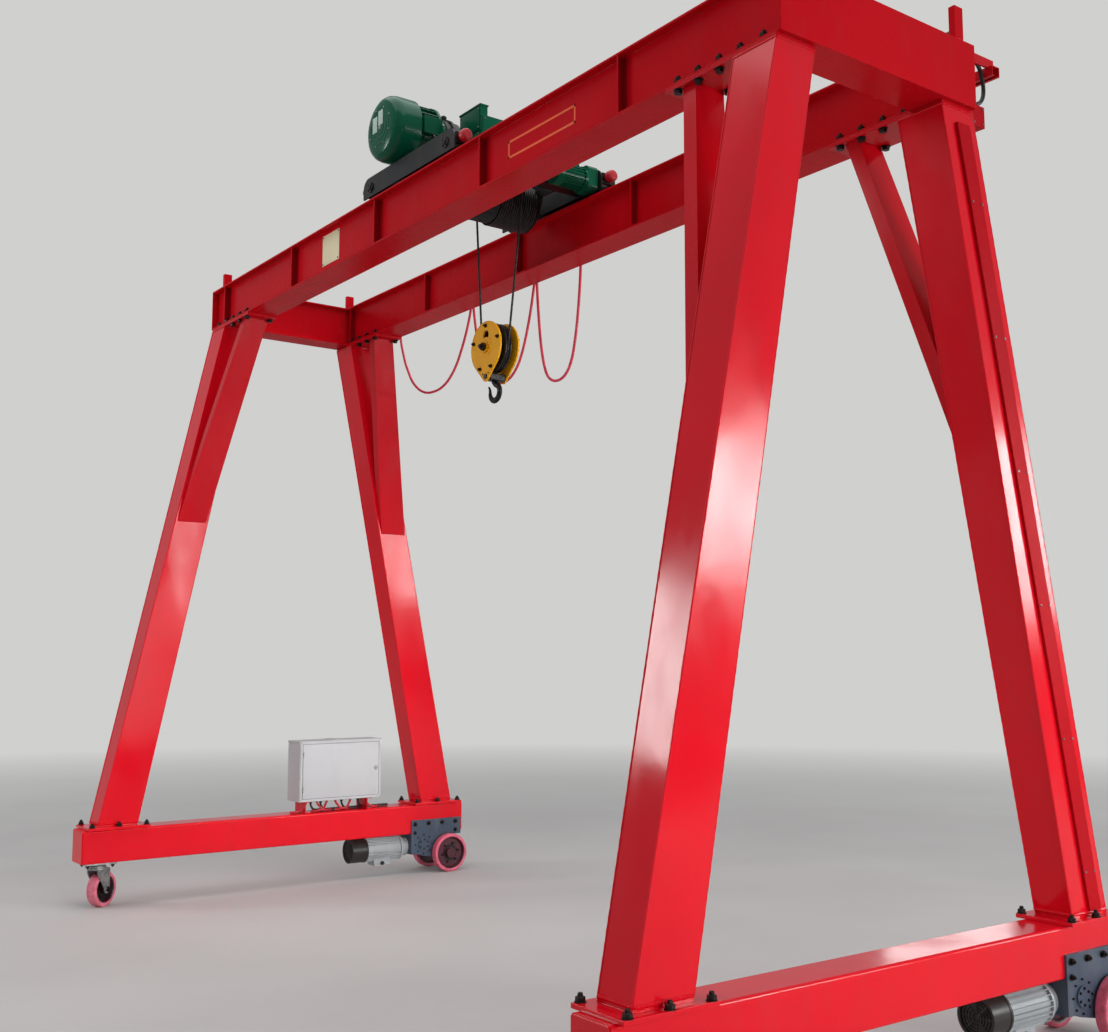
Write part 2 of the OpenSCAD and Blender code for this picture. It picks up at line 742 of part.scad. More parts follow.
module cross_drive() {
    x = wheel_base / 2;
    face = inner_face - axle_boss_t - seat;
    gearbox = face - 62;
    flange = gearbox - 12;
    cowl = flange - 126;
    color("seagreen") at_trolley() {
        along_y(gearbox, face) translate([x, axle_z]) rounded_rect(120, 128, 26);
        translate([x, 0, axle_z]) {
            bar_y(flange, gearbox, 64);
            along_y(cowl, flange) finned_outline(62, 8, 20);
            bar_y(cowl - 40, cowl, 60);
        }
        block([x - 34, cowl + 20, axle_z + 48], [x + 34, cowl + 100, axle_z + 96]);
    }
}

// Half profile of the grooved drum
module drum_profile() {
    r = drum_d / 2;
    ridge = 1.5;
    start = (drum_l - groove_n * groove_pitch) / 2;
    grooves = [for (i = [0 : groove_n - 1], p = [
            [r, ridge], [r - groove_depth, groove_pitch * 0.32],
            [r - groove_depth, groove_pitch * 0.68], [r, groove_pitch - ridge]
        ]) [p[0], start + i * groove_pitch + p[1]]];
    flange = drum_flange_d / 2;
    polygon(concat(
        [[0, 0], [flange - 3, 0], [flange, 3], [flange, drum_flange_t], [r, drum_flange_t]],
        grooves,
        [[r, drum_l - drum_flange_t], [flange, drum_l - drum_flange_t], [flange, drum_l - 3],
            [flange - 3, drum_l], [0, drum_l]]
    ));
}

module hoist_drum() {
    color("dimgray") at_trolley() translate([0, 0, drum_z]) {
        translate([0, drum_y, 0]) turn_y() drum_profile();
        bar_y(bearing_y[0] + seat, bearing_y[1] + bearing_t + 20, shaft_d / 2);
    }
}

module gearbox_outline(grow) {
    belt([0, drum_z], 125 + grow, [-motor_back, motor_z], 115 + grow);
}

module hoist_gearbox() {
    color("darkslategray") at_trolley() {
        along_y(gearbox_y, bearing_y[0]) gearbox_outline(0);
        along_y(gearbox_y + 34, gearbox_y + 50) gearbox_outline(9);
        translate([0, 0, drum_z]) bar_y(gearbox_y - 10, gearbox_y, 58);
    }
}

module hoist_motor() {
    r = motor_d / 2;
    body = r * 0.82;
    flange = motor_l - 70;
    back = gearbox_y - motor_l;
    color("seagreen") at_trolley() translate([-motor_back, 0, motor_z]) {
        translate([0, back, 0]) turn_y() polygon([
            [0, 0], [r * 0.66, 0], [r * 0.8, 5], [r * 0.9, 15], [r * 0.97, 32], [r, 56],
            [r, cowl_l], [body, cowl_l], [body, flange], [r * 0.93, flange], [r * 0.93, flange + 16],
            [r * 0.72, flange + 34], [r * 0.66, motor_l], [0, motor_l]
        ]);
        for (a = [0 : 15 : 345]) rotate([0, a, 0])
            block([body - 4, back + cowl_l - 1, -3], [r * 0.91, back + flange + 1, 3]);
    }
}

// Two switch boxes on an angle bracket that stands on a cross member
module control_box() {
    front = gearbox_y + 38;
    back = front + 150;
    top = channel_top + 207;
    post = box_face_x - plate_t;
    color("seagreen") at_trolley() {
        block([post, front, cross_top], [box_face_x, back, top]);
        block([post, front, cross_top], [box_face_x + 45, back, cross_top + plate_t]);
        block([post - 162, front, top - 147], [post, back, top]);
        block([post - 190, front - 4, top - 77], [post, front + 40, top + 50]);
        block([post - 194, front - 8, top + 50], [post + 4, front + 44, top + 58]);
    }
}

// A slanting rope that stops just short of what it meets at both ends
module rope_fall(low, high) {
    way = high - low;
    gap = 0.8;
    translate(low) rotate([0, acos(way[2] / norm(way)), atan2(way[1], way[0])])
        translate([0, 0, gap]) cylinder(r = rope_r, h = norm(way) - 2 * gap);
}

module hoist_ropes() {
    color("silver") at_trolley() {
        rope_fall([-sheave_r, block_y, sheave_z], [-wind_r, rope_fall_y, drum_z]);
        rope_fall([sheave_r, block_y, sheave_z], [anchor_x, anchor_y, anchor_z]);
    }
}

module sheave_rope() {
    color("silver") at_trolley() translate([0, block_y, sheave_z]) intersection() {
        turn_y() translate([sheave_r, 0]) circle(rope_r);
        block([-sheave_d, -rope_d, -sheave_d], [sheave_d, rope_d, 0]);
    }
}

module block_cheeks() {
    half = cheek_gap / 2;
    boss = half + cheek_t + 10;
    color("gold") at_trolley() translate([0, block_y, 0]) {
        for (y = [-half - cheek_t, half]) along_y(y, y + cheek_t) difference() {
            belt([0, sheave_z], cheek_r, [0, crosshead_z], tongue_r);
            translate([0, sheave_z + cheek_r - 73]) circle(26);
            translate([0, crosshead_z]) circle(trunnion_r + fit);
        }
        translate([0, 0, sheave_z]) {
            bar_y(-boss, boss, block_axle_r);
            for (y = [-boss, half + cheek_t]) bar_y(y, y + 10, 30);
        }
    }
}

module block_sheave() {
    hub = cheek_gap / 2 - 1;
    hub_r = block_axle_r + 18;
    bore = block_axle_r + fit;
    half = 20;
    web = 9;
    groove = sheave_r - rope_r - seat;
    color("dimgray") at_trolley() translate([0, block_y, sheave_z]) turn_y() difference() {
        polygon([
            [bore, -hub], [hub_r, -hub], [hub_r, -web], [groove - 14, -web], [groove - 6, -half],
            [sheave_rim - 3, -half], [sheave_rim, 3 - half], [sheave_rim, half - 3], [sheave_rim - 3, half],
            [groove - 6, half], [groove - 14, web], [hub_r, web], [hub_r, hub], [bore, hub]
        ]);
        translate([sheave_r, 0]) circle(rope_r + seat);
        polygon([
            [sheave_r - 2, -rope_r - seat + 0.4], [sheave_rim + 1, -12], [sheave_rim + 1, 12],
            [sheave_r - 2, rope_r + seat - 0.4]
        ]);
    }
}

module hook_crosshead() {
    half = cheek_gap / 2 - run;
    nut_h = 13;
    color("dimgray") at_trolley() translate([0, block_y, crosshead_z]) difference() {
        union() {
            along_y(-half, half) rounded_rect(56, crosshead_h, 7);
            bar_y(-cheek_gap / 2 - cheek_t - 4, cheek_gap / 2 + cheek_t + 4, trunnion_r);
        }
        translate([0, 0, -crosshead_h]) cylinder(d = shank_d + 2 * fit, h = 2 * crosshead_h);
        translate([0, 0, crosshead_h / 2 - nut_h]) cylinder(d = shank_d + 14 + 2 * fit, h = nut_h + 1);
    }
}

// The forged hook: neck, bowl and tip as one tapering bar
module lifting_hook() {
    neck_top = 52;
    knee = 34;
    neck = [for (i = [0 : 5]) let (t = i / 6, u = 1 - t)
        [(3 * u + t) * t * t * bowl_r, u * u * u * neck_top + 3 * u * t * knee]];
    bowl = [for (i = [0 : 14]) let (a = -13.5 * i) [bowl_r * cos(a), bowl_r * sin(a)]];
    tip = [[-bowl_r - 3, 22], [-bowl_r - 12, 34]];
    path = concat(neck, bowl, tip);
    last = len(path) - 1;
    swell = [for (i = [0 : last]) let (t = i / last)
        t < 0.25 ? mix(shank_d / 2, 14.5, t * 4) : t < 0.6 ? mix(14.5, 15.5, (t - 0.25) / 0.35)
            : mix(15.5, 5, pow((t - 0.6) / 0.4, 1.4))];
    width = [for (r = swell) r * 0.86];
    shank_top = crosshead_z + crosshead_h / 2;
    color("dimgray") at_trolley() translate([0, block_y, 0]) {
        translate([0, 0, bowl_z]) sweep(path, swell, width, 16);
        translate([0, 0, bowl_z + 44]) cylinder(d = shank_d, h = shank_top - bowl_z - 44);
        translate([0, 0, shank_top - 13 + seat]) cylinder(d = shank_d + 14, h = 13 - seat, $fn = 6);
    }
}

module festoon_rail() {
    half = festoon_w / 2;
    web = gauge / 2 + web_w / 2;
    flange = gauge / 2 + girder_w / 2;
    brackets = concat([for (i = [-2 : 2]) i * bracket_pitch], [end_bracket_x]);
    color("silver") along_x(festoon_start, outer_x - 10) translate([festoon_y, festoon_z]) difference() {
        translate([-half, 0]) square([festoon_w, festoon_h]);
        translate([festoon_wall - half, festoon_wall])
            square([festoon_w - 2 * festoon_wall, festoon_h - 2 * festoon_wall]);
        translate([-festoon_slot / 2, -1]) square([festoon_slot, festoon_wall + 2]);
    }
    color("crimson") for (x = brackets) along_x(x - bracket_t / 2, x + bracket_t / 2) polygon([
        [web, festoon_top], [festoon_y + half, festoon_top], [festoon_y + half, girder_top],
        [flange, girder_top], [flange, girder_top - flange_t], [web, girder_top - flange_t]
    ]);
    color("silver") translate([festoon_fixed_x, festoon_y, 0]) {
        block([-20, -25, clamp_z], [20, 25, clamp_z + clamp_h]);
        block([-20, -festoon_slot / 2 + 2, clamp_z + clamp_h], [20, festoon_slot / 2 - 2, festoon_z]);
        block([-20, -20, festoon_z - 4], [20, 20, festoon_z]);
    }
}

// A festoon carrier: a clamp for the cable, hung from a pair of wheels in the rail
module carrier(x) {
    wheel_r = 12;
    wheel_z = festoon_z + festoon_wall + wheel_r + seat;
    color("gray") translate([x, festoon_y, 0]) {
        block([-20, -25, clamp_z], [20, 25, clamp_z + clamp_h]);
        block([-14, -4, clamp_z + clamp_h], [14, 4, wheel_z + 6]);
        for (s = [-1, 1]) translate([0, s * 9 - 5, wheel_z]) bar_y(0, 10, wheel_r);
    }
}

module festoon_carrier_1() { carrier(carrier_1_x); }
module festoon_carrier_2() { carrier(carrier_2_x); }

module festoon_loop(path) { color("rosybrown") translate([0, festoon_y, 0]) cable(path); }

module festoon_loop_1() { festoon_loop(loop_1); }
module festoon_loop_2() { festoon_loop(loop_2); }
module festoon_loop_3() { festoon_loop(loop_3); }

module supply_cable() {
    color("black") translate([supply_x, 0, 0]) rotate(90) cable(supply_route);
}

// A junction box on the leg's head, and a cable duct down the leg's face
module cable_entry() {
    low = head_z - 35;
    high = head_z + 50;
    far = leg_head_y + 85;
    duct_w = 76;
    duct_t = 12;
    top = head_z - 60;
    bottom = beam_top + leg_flange_t + 20;
    edge = function (z) leg_out_y(z) - 48;
    color("firebrick") {
        along_x(outer_x - 85, outer_x - 25) polygon([
            [leg_out_y(low) + fit, low], [leg_out_y(head_z) + fit, head_z], [leg_head_y + 4, high],
            [far, high], [far, low]
        ]);
        intersection() {
            along_x(0, outer_x + 50) polygon([
                [edge(bottom) - duct_w, bottom], [edge(bottom), bottom],
                [edge(top), top], [edge(top) - duct_w, top]
            ]);
            along_y(0, beam_len / 2) polygon([
                [leg_out_x(bottom) + fit, bottom], [leg_out_x(bottom) + duct_t, bottom],
                [leg_out_x(top) + duct_t, top], [leg_out_x(top) + fit, top]
            ]);
        }
    }
}

module control_cabinet() {
    front = cabinet_back + cabinet_d;
    top = cabinet_z + cabinet_h;
    door = front - 8;
    color("whitesmoke") {
        block([cabinet_back, cabinet_y, cabinet_z], [door, cabinet_y + cabinet_w, top]);
        block([door, cabinet_y + 4, cabinet_z + 4], [front, cabinet_y + cabinet_w - 4, top - 4]);
        block([cabinet_back, cabinet_y - 6, top - 6], [front - 2, cabinet_y + cabinet_w + 6, top]);
    }
}

module cabinet_bracket() {
    low = [cabinet_back + 10, cabinet_back + cabinet_d - 20];
    color("crimson") for (y = [cabinet_y + 50, cabinet_y + cabinet_w - 90]) {
        block([low[0], y, beam_top], [low[1], y + 40, beam_top + 6]);
        block([low[0], y, beam_top], [low[1], y + 6, cabinet_z]);
        block([low[0], y, cabinet_z - 6], [low[1], y + 40, cabinet_z]);
    }
}

bottom_beams();
legs();
knee_braces();
leg_head_plates();
end_beams();
front_girder();
back_girder();
trolley_rails();
rail_stops();
caster_plates();
near_caster_fork();
far_caster_fork();
near_caster_wheel();
far_caster_wheel();
drive_housings();
drive_motors();
near_drive_wheels();
far_drive_wheels();
trolley_frame();
trolley_wheel_1();
trolley_wheel_2();
trolley_wheel_3();
trolley_wheel_4();
trolley_buffers();
cross_drive();
hoist_drum();
hoist_gearbox();
hoist_motor();
control_box();
hoist_ropes();
sheave_rope();
block_cheeks();
block_sheave();
hook_crosshead();
lifting_hook();
festoon_rail();
festoon_carrier_1();
festoon_carrier_2();
festoon_loop_1();
festoon_loop_2();
festoon_loop_3();
supply_cable();
cable_entry();
control_cabinet();
cabinet_bracket();
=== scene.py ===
"""Looks for a travelling gantry crane with two girders and an open winch."""

import math

import bmesh
import bpy
from mathutils import Matrix, Quaternion, Vector


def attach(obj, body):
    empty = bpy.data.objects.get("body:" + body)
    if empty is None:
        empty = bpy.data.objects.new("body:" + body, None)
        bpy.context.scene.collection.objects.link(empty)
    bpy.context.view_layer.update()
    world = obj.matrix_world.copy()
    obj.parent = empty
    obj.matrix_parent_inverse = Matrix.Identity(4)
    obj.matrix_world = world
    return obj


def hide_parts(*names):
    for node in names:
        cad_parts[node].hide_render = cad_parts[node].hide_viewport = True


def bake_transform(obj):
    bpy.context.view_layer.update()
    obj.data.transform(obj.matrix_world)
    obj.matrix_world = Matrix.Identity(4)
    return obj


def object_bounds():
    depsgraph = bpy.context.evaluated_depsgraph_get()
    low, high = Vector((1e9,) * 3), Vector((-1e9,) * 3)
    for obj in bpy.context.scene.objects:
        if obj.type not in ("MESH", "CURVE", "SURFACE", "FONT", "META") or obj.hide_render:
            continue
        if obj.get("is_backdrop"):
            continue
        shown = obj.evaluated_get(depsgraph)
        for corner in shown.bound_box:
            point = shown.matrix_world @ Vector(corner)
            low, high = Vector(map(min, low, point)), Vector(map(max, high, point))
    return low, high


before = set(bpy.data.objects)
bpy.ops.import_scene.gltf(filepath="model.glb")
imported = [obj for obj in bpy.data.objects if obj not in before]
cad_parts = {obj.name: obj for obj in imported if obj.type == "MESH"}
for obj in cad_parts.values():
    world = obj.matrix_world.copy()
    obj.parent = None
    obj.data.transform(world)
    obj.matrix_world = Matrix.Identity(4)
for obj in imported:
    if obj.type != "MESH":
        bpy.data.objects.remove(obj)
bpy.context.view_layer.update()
scene = bpy.context.scene
scene.view_settings.view_transform = "Standard"

# Camera, as fitted to the photograph
CAMERA_TILT, CAMERA_TURN = 0.1072, 0.93576
camera = bpy.data.objects.new("camera", bpy.data.cameras.new("camera"))
scene.collection.objects.link(camera)
camera.location = (5.316, -3.551, 1.458)
camera.rotation_euler = (math.pi / 2 + CAMERA_TILT, 0, CAMERA_TURN)
camera.data.sensor_width = 36
camera.data.lens = 41.721
camera.data.clip_end = 200
scene.camera = camera

# Directions, and places on the part in metres
UP, DOWN, FRONT, BACK, RIGHT = (0, 0, 1), (0, 0, -1), (0, -1, 0), (0, 1, 0), (1, 0, 0)
CORNERS = [(sx, sy) for sx in (-1, 1) for sy in (-1, 1)]
SIDES = (("near", 1), ("far", -1))
SIDE_X, OUTER_X = 2.399, 2.489  # a bottom beam's middle and the frame's outer face, from mid span
BEAM_TOP, FLANGE_TOP, LEG_FOOT, LEG_HEAD = 0.450, 0.466, 0.482, 3.509
LEG_INSET, LEG_WIDTH = (0.010, 0.020), (0.160, 0.205)  # each at its foot and its head
LEG_OUT_Y, LEG_DEPTH = (1.195, 0.5325), (0.230, 0.185)
GIRDER_Y, WEB_FACE, FLANGE_RIM = 0.440, 0.055, 0.089
WEB_LOW, WEB_HIGH, RAIL_FOOT = 3.535, 3.765, 3.7775
RIB_X, RIB_PITCH, RIBS = 1.631, 0.980, 5
CASTER_Y, CASTER_YAW, CASTER_R, CASTER_TRAIL = -1.160, math.radians(35), 0.100, 0.045
DRIVE_Y, DRIVE_R = 1.155, 0.125
HUB_Y, HUB_Z = 0.972, 0.190  # the gear hub on a drive housing
COWL_END, TRAVEL_MOTOR_Z = 0.571, 0.174
HOME = -0.082  # where the trolley stands along the span
AXLE_X, AXLE_Z = 0.370, 3.872  # of the trolley's wheels
DRUM = Vector((HOME, 0, 3.800))
MOTOR = Vector((HOME - 0.146, 0, 4.105))
BLOCK = Vector((HOME, 0.050, 3.022))
ROPE_R, SHEAVE_ROPE_R, DRUM_ROPE_R = 0.0055, 0.120, 0.1218
ROPE_END = Vector((HOME + 0.185, 0.090, 3.800))
FESTOON_Y, CABLE_D, SUPPLY_X = 0.680, 0.016, 2.4367
DOOR_X = -2.300  # the cabinet's door
BOX_FRONT, BOX_SIDE, BOX_LOW_FRONT = -0.1971, 0.2331, -0.1931  # covers of the control boxes


# Materials
def linear(colour):
    """A colour written as 0-255 sRGB, as the linear values that shaders use."""
    parts = [v / 255 for v in colour]
    return [c / 12.92 if c <= 0.04045 else ((c + 0.055) / 1.055) ** 2.4 for c in parts] + [1]


class Nodes:
    """A material's node tree, with short ways to add to it."""

    def __init__(self, name):
        self.material = bpy.data.materials.new(name)
        self.material.use_nodes = True
        self.tree = self.material.node_tree
        self.shader = self.tree.nodes["Principled BSDF"]
        self.place = self.add("ShaderNodeTexCoord").outputs["Object"]

    def add(self, kind, **values):
        node = self.tree.nodes.new(kind)
        for key, value in values.items():
            setattr(node, key, value)
        return node

    def link(self, output, socket):
        self.tree.links.new(output, socket)

    def feed(self, pairs):
        """Links or sets each socket from what is paired with it."""
        for socket, value in pairs:
            if isinstance(value, bpy.types.NodeSocket):
                self.link(value, socket)
            else:
                socket.default_value = value

    def surface(self, colour, rough):
        self.link(colour, self.shader.inputs["Base Color"])
        self.link(rough, self.shader.inputs["Roughness"])

    def noise(self, scale, detail, stretch=(1, 1, 1), rough=0.5):
        """Noise that runs from about 0.3 to 0.7."""
        node = self.add("ShaderNodeTexNoise")
        node.inputs["Scale"].default_value = scale
        node.inputs["Detail"].default_value = detail
        node.inputs["Roughness"].default_value = rough
        shaped = self.add("ShaderNodeMapping")
        shaped.inputs["Scale"].default_value = stretch
        self.link(self.place, shaped.inputs["Vector"])
        self.link(shaped.outputs["Vector"], node.inputs["Vector"])
        return node.outputs["Fac"]

    def span(self, value, low, high, to_low=0.0, to_high=1.0):
        """Maps a value's range onto another one, and clamps it."""
        node = self.add("ShaderNodeMapRange")
        names = ("Value", "From Min", "From Max", "To Min", "To Max")
        self.feed(zip([node.inputs[n] for n in names], (value, low, high, to_low, to_high)))
        return node.outputs["Result"]

    def mix(self, share, first, second):
        """A colour between two, each a socket or a colour."""
        node = self.add("ShaderNodeMix", data_type="RGBA")
        self.feed(zip((node.inputs[0], node.inputs[6], node.inputs[7]), (share, first, second)))
        return node.outputs[2]

    def sums(self, kind, first, second=0.0):
        """Arithmetic on one or two values, each a socket or a number."""
        node = self.add("ShaderNodeMath", operation=kind)
        self.feed(zip(node.inputs, (first, second)))
        return node.outputs[0]

    def from_middle(self, value, middle):
        """How far a value is from a middle one."""
        return self.sums("ABSOLUTE", self.sums("SUBTRACT", value, middle))

    def bump(self, height, depth):
        """Raises the surface by a height from 0 to 1, depth in metres."""
        node = self.add("ShaderNodeBump")
        node.inputs["Distance"].default_value = depth
        self.link(height, node.inputs["Height"])
        if self.shader.inputs["Normal"].links:
            before = self.shader.inputs["Normal"].links[0].from_socket
            self.link(before, node.inputs["Normal"])
        self.link(node.outputs["Normal"], self.shader.inputs["Normal"])

    def set(self, **values):
        names = dict(metal="Metallic", rough="Roughness", specular="Specular IOR Level")
        for key, value in values.items():
            self.shader.inputs[names[key]].default_value = value
        return self

    def axis_distance(self, centre, axis):
        """How far a point is from an axis."""
        shift = self.add("ShaderNodeVectorMath", operation="SUBTRACT")
        shift.inputs[1].default_value = centre
        cross = self.add("ShaderNodeVectorMath", operation="CROSS_PRODUCT")
        cross.inputs[1].default_value = axis
        size = self.add("ShaderNodeVectorMath", operation="LENGTH")
        self.link(self.place, shift.inputs[0])
        self.link(shift.outputs["Vector"], cross.inputs[0])
        self.link(cross.outputs["Vector"], size.inputs[0])
        return size.outputs["Value"]

    def part(self, letter):
        """One coordinate of a point."""
        node = self.add("ShaderNodeSeparateXYZ")
        self.link(self.place, node.inputs[0])
        return node.outputs[letter]


def paint(name, colour, shade, gloss=0.3, dust=(186, 170, 160), dusty=0.25, shine=0.3,
          ribs=False, cowl_end=None):
    """Sprayed enamel: slow tone changes, orange peel and a dust film.

    ribs adds painted shade in the girders' recesses, close to their ribs, and cowl_end is how far
    along Y a dark cowl reaches.
    """
    m = Nodes(name)
    tone = m.mix(m.span(m.noise(1.3, 4), 0.35, 0.65), linear(colour), linear(shade))
    speck = m.span(m.noise(160, 2), 0.62, 0.75, 0, dusty)
    film = m.span(m.noise(7, 5, (1, 1, 0.35), 0.65), 0.5, 0.78, 0, dusty)
    tone = m.mix(m.sums("MAXIMUM", speck, film), tone, linear(dust))
    if ribs:
        # Painted shade: the paint is darkened beside the girders' ribs, between their flanges
        tone = m.mix(rib_shade(m), tone, linear([v * 0.35 for v in shade]))
    if cowl_end is not None:
        cowl = m.span(m.part("Y"), cowl_end - 0.0004, cowl_end + 0.0004, 1, 0)
        tone = m.mix(cowl, tone, linear((44, 40, 38)))
    m.surface(tone, m.span(m.noise(5, 4, (1, 1, 0.5)), 0.35, 0.7, gloss - 0.04, gloss + 0.08))
    m.bump(m.noise(240, 2), 0.00005)
    m.bump(m.noise(3.2, 3), 0.0009)
    return m.set(specular=shine).material


def rib_shade(m):
    """Painted shade in the girders' recesses, close to their ribs."""
    start = RIB_X - RIB_PITCH / 2
    along = m.sums("DIVIDE", m.sums("SUBTRACT", m.part("X"), start), RIB_PITCH)
    near = m.sums("MULTIPLY", m.from_middle(m.sums("FRACT", along), 0.5), RIB_PITCH)
    across = m.from_middle(m.sums("ABSOLUTE", m.part("Y")), GIRDER_Y)
    level = m.from_middle(m.part("Z"), (WEB_LOW + WEB_HIGH) / 2)
    near_rib = m.span(near, 0.006, 0.022, 0.62, 0)
    inside = m.span(across, 0.084, 0.0915, 1, 0)
    off_flange = m.span(level, 0.105, 0.1155, 1, 0)
    return m.sums("MULTIPLY", m.sums("MULTIPLY", near_rib, inside), off_flange)


def steel(name, colour, shade, rough=0.4, metal=0.9, grain=(1, 1, 1), scale=60):
    """Bare or plated steel with drawn or mottled grain and a little grime."""
    m = Nodes(name)
    tone = m.mix(m.span(m.noise(scale, 4, grain), 0.35, 0.65), linear(colour), linear(shade))
    grime = m.span(m.noise(14, 5), 0.5, 0.72, 0, 0.55)
    m.surface(m.mix(grime, tone, linear([v * 0.45 for v in shade])),
              m.span(m.noise(scale * 0.7, 3, grain), 0.3, 0.7, rough - 0.1, rough + 0.14))
    m.bump(m.noise(scale * 3, 3, grain), 0.00012)
    return m.set(metal=metal).material


def plastic(name, colour, shade, rough=0.5, dust=(150, 140, 132)):
    """Rubber or moulded plastic with a fine texture and dust."""
    m = Nodes(name)
    tone = m.mix(m.span(m.noise(9, 3), 0.35, 0.65), linear(colour), linear(shade))
    m.surface(m.mix(m.span(m.noise(30, 5), 0.52, 0.78, 0, 0.3), tone, linear(dust)),
              m.span(m.noise(25, 3), 0.3, 0.7, rough - 0.1, rough + 0.12))
    m.bump(m.noise(420, 2), 0.00008)
    return m.material


def wheel_finish(name, centre, axis, rim, tyre_colour, tyre_shade, disc_colour, disc_shade):
    """A tyre outside the rim's radius, scuffed on its tread, and a painted disc inside it."""
    m = Nodes(name)
    out = m.axis_distance(centre, axis)
    tyre = m.mix(m.span(m.noise(24, 4), 0.35, 0.65), linear(tyre_colour), linear(tyre_shade))
    tyre = m.mix(m.span(m.noise(60, 5), 0.52, 0.7, 0, 0.45), tyre, linear((120, 92, 88)))
    disc = m.mix(m.span(m.noise(30, 4), 0.35, 0.65), linear(disc_colour), linear(disc_shade))
    m.surface(m.mix(m.span(out, rim - 0.0006, rim + 0.0006), disc, tyre),
              m.span(out, rim - 0.001, rim + 0.001, 0.34, 0.5))
    m.bump(m.span(m.from_middle(out, rim), 0, 0.0025), 0.0008)
    m.bump(m.noise(300, 3), 0.00012)
    return m.material


RED_DUST = (168, 52, 58)
red = paint("crane_red", (224, 12, 32), (212, 9, 29), 0.12, RED_DUST, 0.2, shine=0.26)
brace_red = paint("brace_red", (204, 12, 28), (190, 9, 25), 0.21, RED_DUST, 0.3, shine=0.16)
# A darker copy of the frame's red, as painted shade on the girders, end beams and rail stops up high
girder_red_shaded = paint("girder_red_shaded", (202, 12, 26), (190, 9, 23), 0.26, RED_DUST, 0.2, shine=0.05,
                   ribs=True)
duct_red = paint("duct_red", (186, 12, 26), (170, 9, 23), 0.4, RED_DUST, 0.12, shine=0.04)
green = paint("hoist_green", (2, 94, 66), (1, 78, 54), 0.2, (50, 104, 84), 0.1, shine=0.2)
black = paint("trolley_black", (19, 20, 21), (12, 12, 14), 0.42, (84, 79, 74), 0.28)
gear_black = paint("gear_black", (20, 24, 24), (13, 16, 16), 0.38, (74, 72, 68), 0.2)
grey_blue = paint("housing_grey", (70, 82, 100), (58, 70, 86), 0.36, (140, 138, 134), 0.3)
yellow = paint("block_yellow", (250, 186, 16), (240, 166, 8), 0.34, (160, 124, 60), 0.22,
               shine=0.15)
white = paint("cabinet_white", (192, 191, 192), (182, 182, 184), 0.4, (160, 155, 148), 0.22)
motor_silver = paint("motor_silver", (176, 180, 182), (150, 155, 158), 0.36, (120, 114, 106), 0.35,
                     cowl_end=COWL_END)
strip_orange = paint("strip_orange", (250, 112, 70), (238, 98, 56), 0.4, dusty=0.1, shine=0.1)
label_pale = paint("label_pale", (190, 212, 200), (176, 198, 186), 0.36, dusty=0.12)
cream = paint("plate_cream", (236, 226, 186), (226, 214, 170), 0.42, dusty=0.15)
rail_steel = steel("rail_steel", (112, 96, 88), (84, 70, 62), 0.42, 0.75, (0.04, 1, 1), 90)
dark_steel = steel("dark_steel", (66, 64, 64), (44, 42, 42), 0.42, 0.8)
bolt_steel = steel("bolt_steel", (58, 52, 50), (36, 32, 30), 0.38, 0.85, scale=120)
zinc = steel("zinc_steel", (176, 178, 176), (140, 142, 142), 0.36, 0.85, scale=45)
drum_grey = steel("drum_grey", (40, 39, 40), (26, 25, 26), 0.4, 0.6, (1, 0.2, 1), 70)
rope_steel = steel("rope_steel", (74, 72, 70), (40, 38, 37), 0.4, 0.8, scale=200)
forged = steel("forged_steel", (52, 50, 50), (34, 32, 32), 0.46, 0.75, scale=40)
seal_grey = plastic("seal_grey", (112, 113, 116), (92, 93, 96))
cowl_black = plastic("cowl_black", (30, 31, 33), (20, 21, 23))
rubber_black = plastic("cable_black", (24, 24, 26), (16, 16, 18))
cable_pink = plastic("cable_pink", (228, 62, 86), (208, 44, 70), 0.42, (190, 120, 120))
buffer_red = plastic("buffer_red", (198, 22, 40), (170, 14, 32), 0.42)
yaw_cos, yaw_sin = math.cos(CASTER_YAW), math.sin(CASTER_YAW)
pink_near, pink_far = [
    wheel_finish(f"{side}_caster_finish",
                 (s * SIDE_X - CASTER_TRAIL * yaw_sin, CASTER_Y + CASTER_TRAIL * yaw_cos, CASTER_R),
                 (yaw_cos, yaw_sin, 0), 0.078,
                 (230, 122, 142), (212, 98, 118), (58, 22, 32), (40, 16, 24))
    for side, s in SIDES]
drive_finish = wheel_finish("drive_finish", (0, DRIVE_Y, DRIVE_R), RIGHT, 0.105,
                            (228, 104, 128), (210, 82, 108), (78, 18, 34), (58, 12, 26))


# Making meshes
def point_at(origin, axis=UP, spin=0.0):
    """A place whose Z runs along axis."""
    turn = Vector(axis).to_track_quat("Z", "Y") @ Quaternion(UP, spin)
    return Matrix.LocRotScale(Vector(origin), turn, None)


def turns(count, start=0.0):
    """Angles spread evenly round a circle."""
    return [start + 2 * math.pi * k / count for k in range(count)]


def round_x(centre, radius, a):
    """A point on a circle about an axis along X."""
    return Vector(centre) + radius * Vector((0, math.cos(a), math.sin(a)))


def round_y(centre, radius, a):
    """A point on a circle about an axis along Y."""
    return Vector(centre) + radius * Vector((math.cos(a), 0, math.sin(a)))


def on_face(where, radius, a, lift):
    """A place on another one's face, at a radius and an angle."""
    return where @ Matrix.Translation((radius * math.cos(a), radius * math.sin(a), lift))


def solid(*points):
    """A turned profile, closed on its axis at both ends."""
    return [(0, points[0][1]), *points, (0, points[-1][1])]


def hoop(inner, width, height):
    """The profile of a flat ring."""
    outer = inner + width
    return [(inner, 0), (outer, 0), (outer, height), (inner, height), (inner, 0)]


def border(low, high, width):
    """The four strips along a rectangle's edges, as pairs of corners."""
    (a0, b0), (a1, b1) = low, high
    return (((a0, b1 - width), high), (low, (a1, b0 + width)),
            (low, (a0 + width, b1)), ((a1 - width, b0), high))


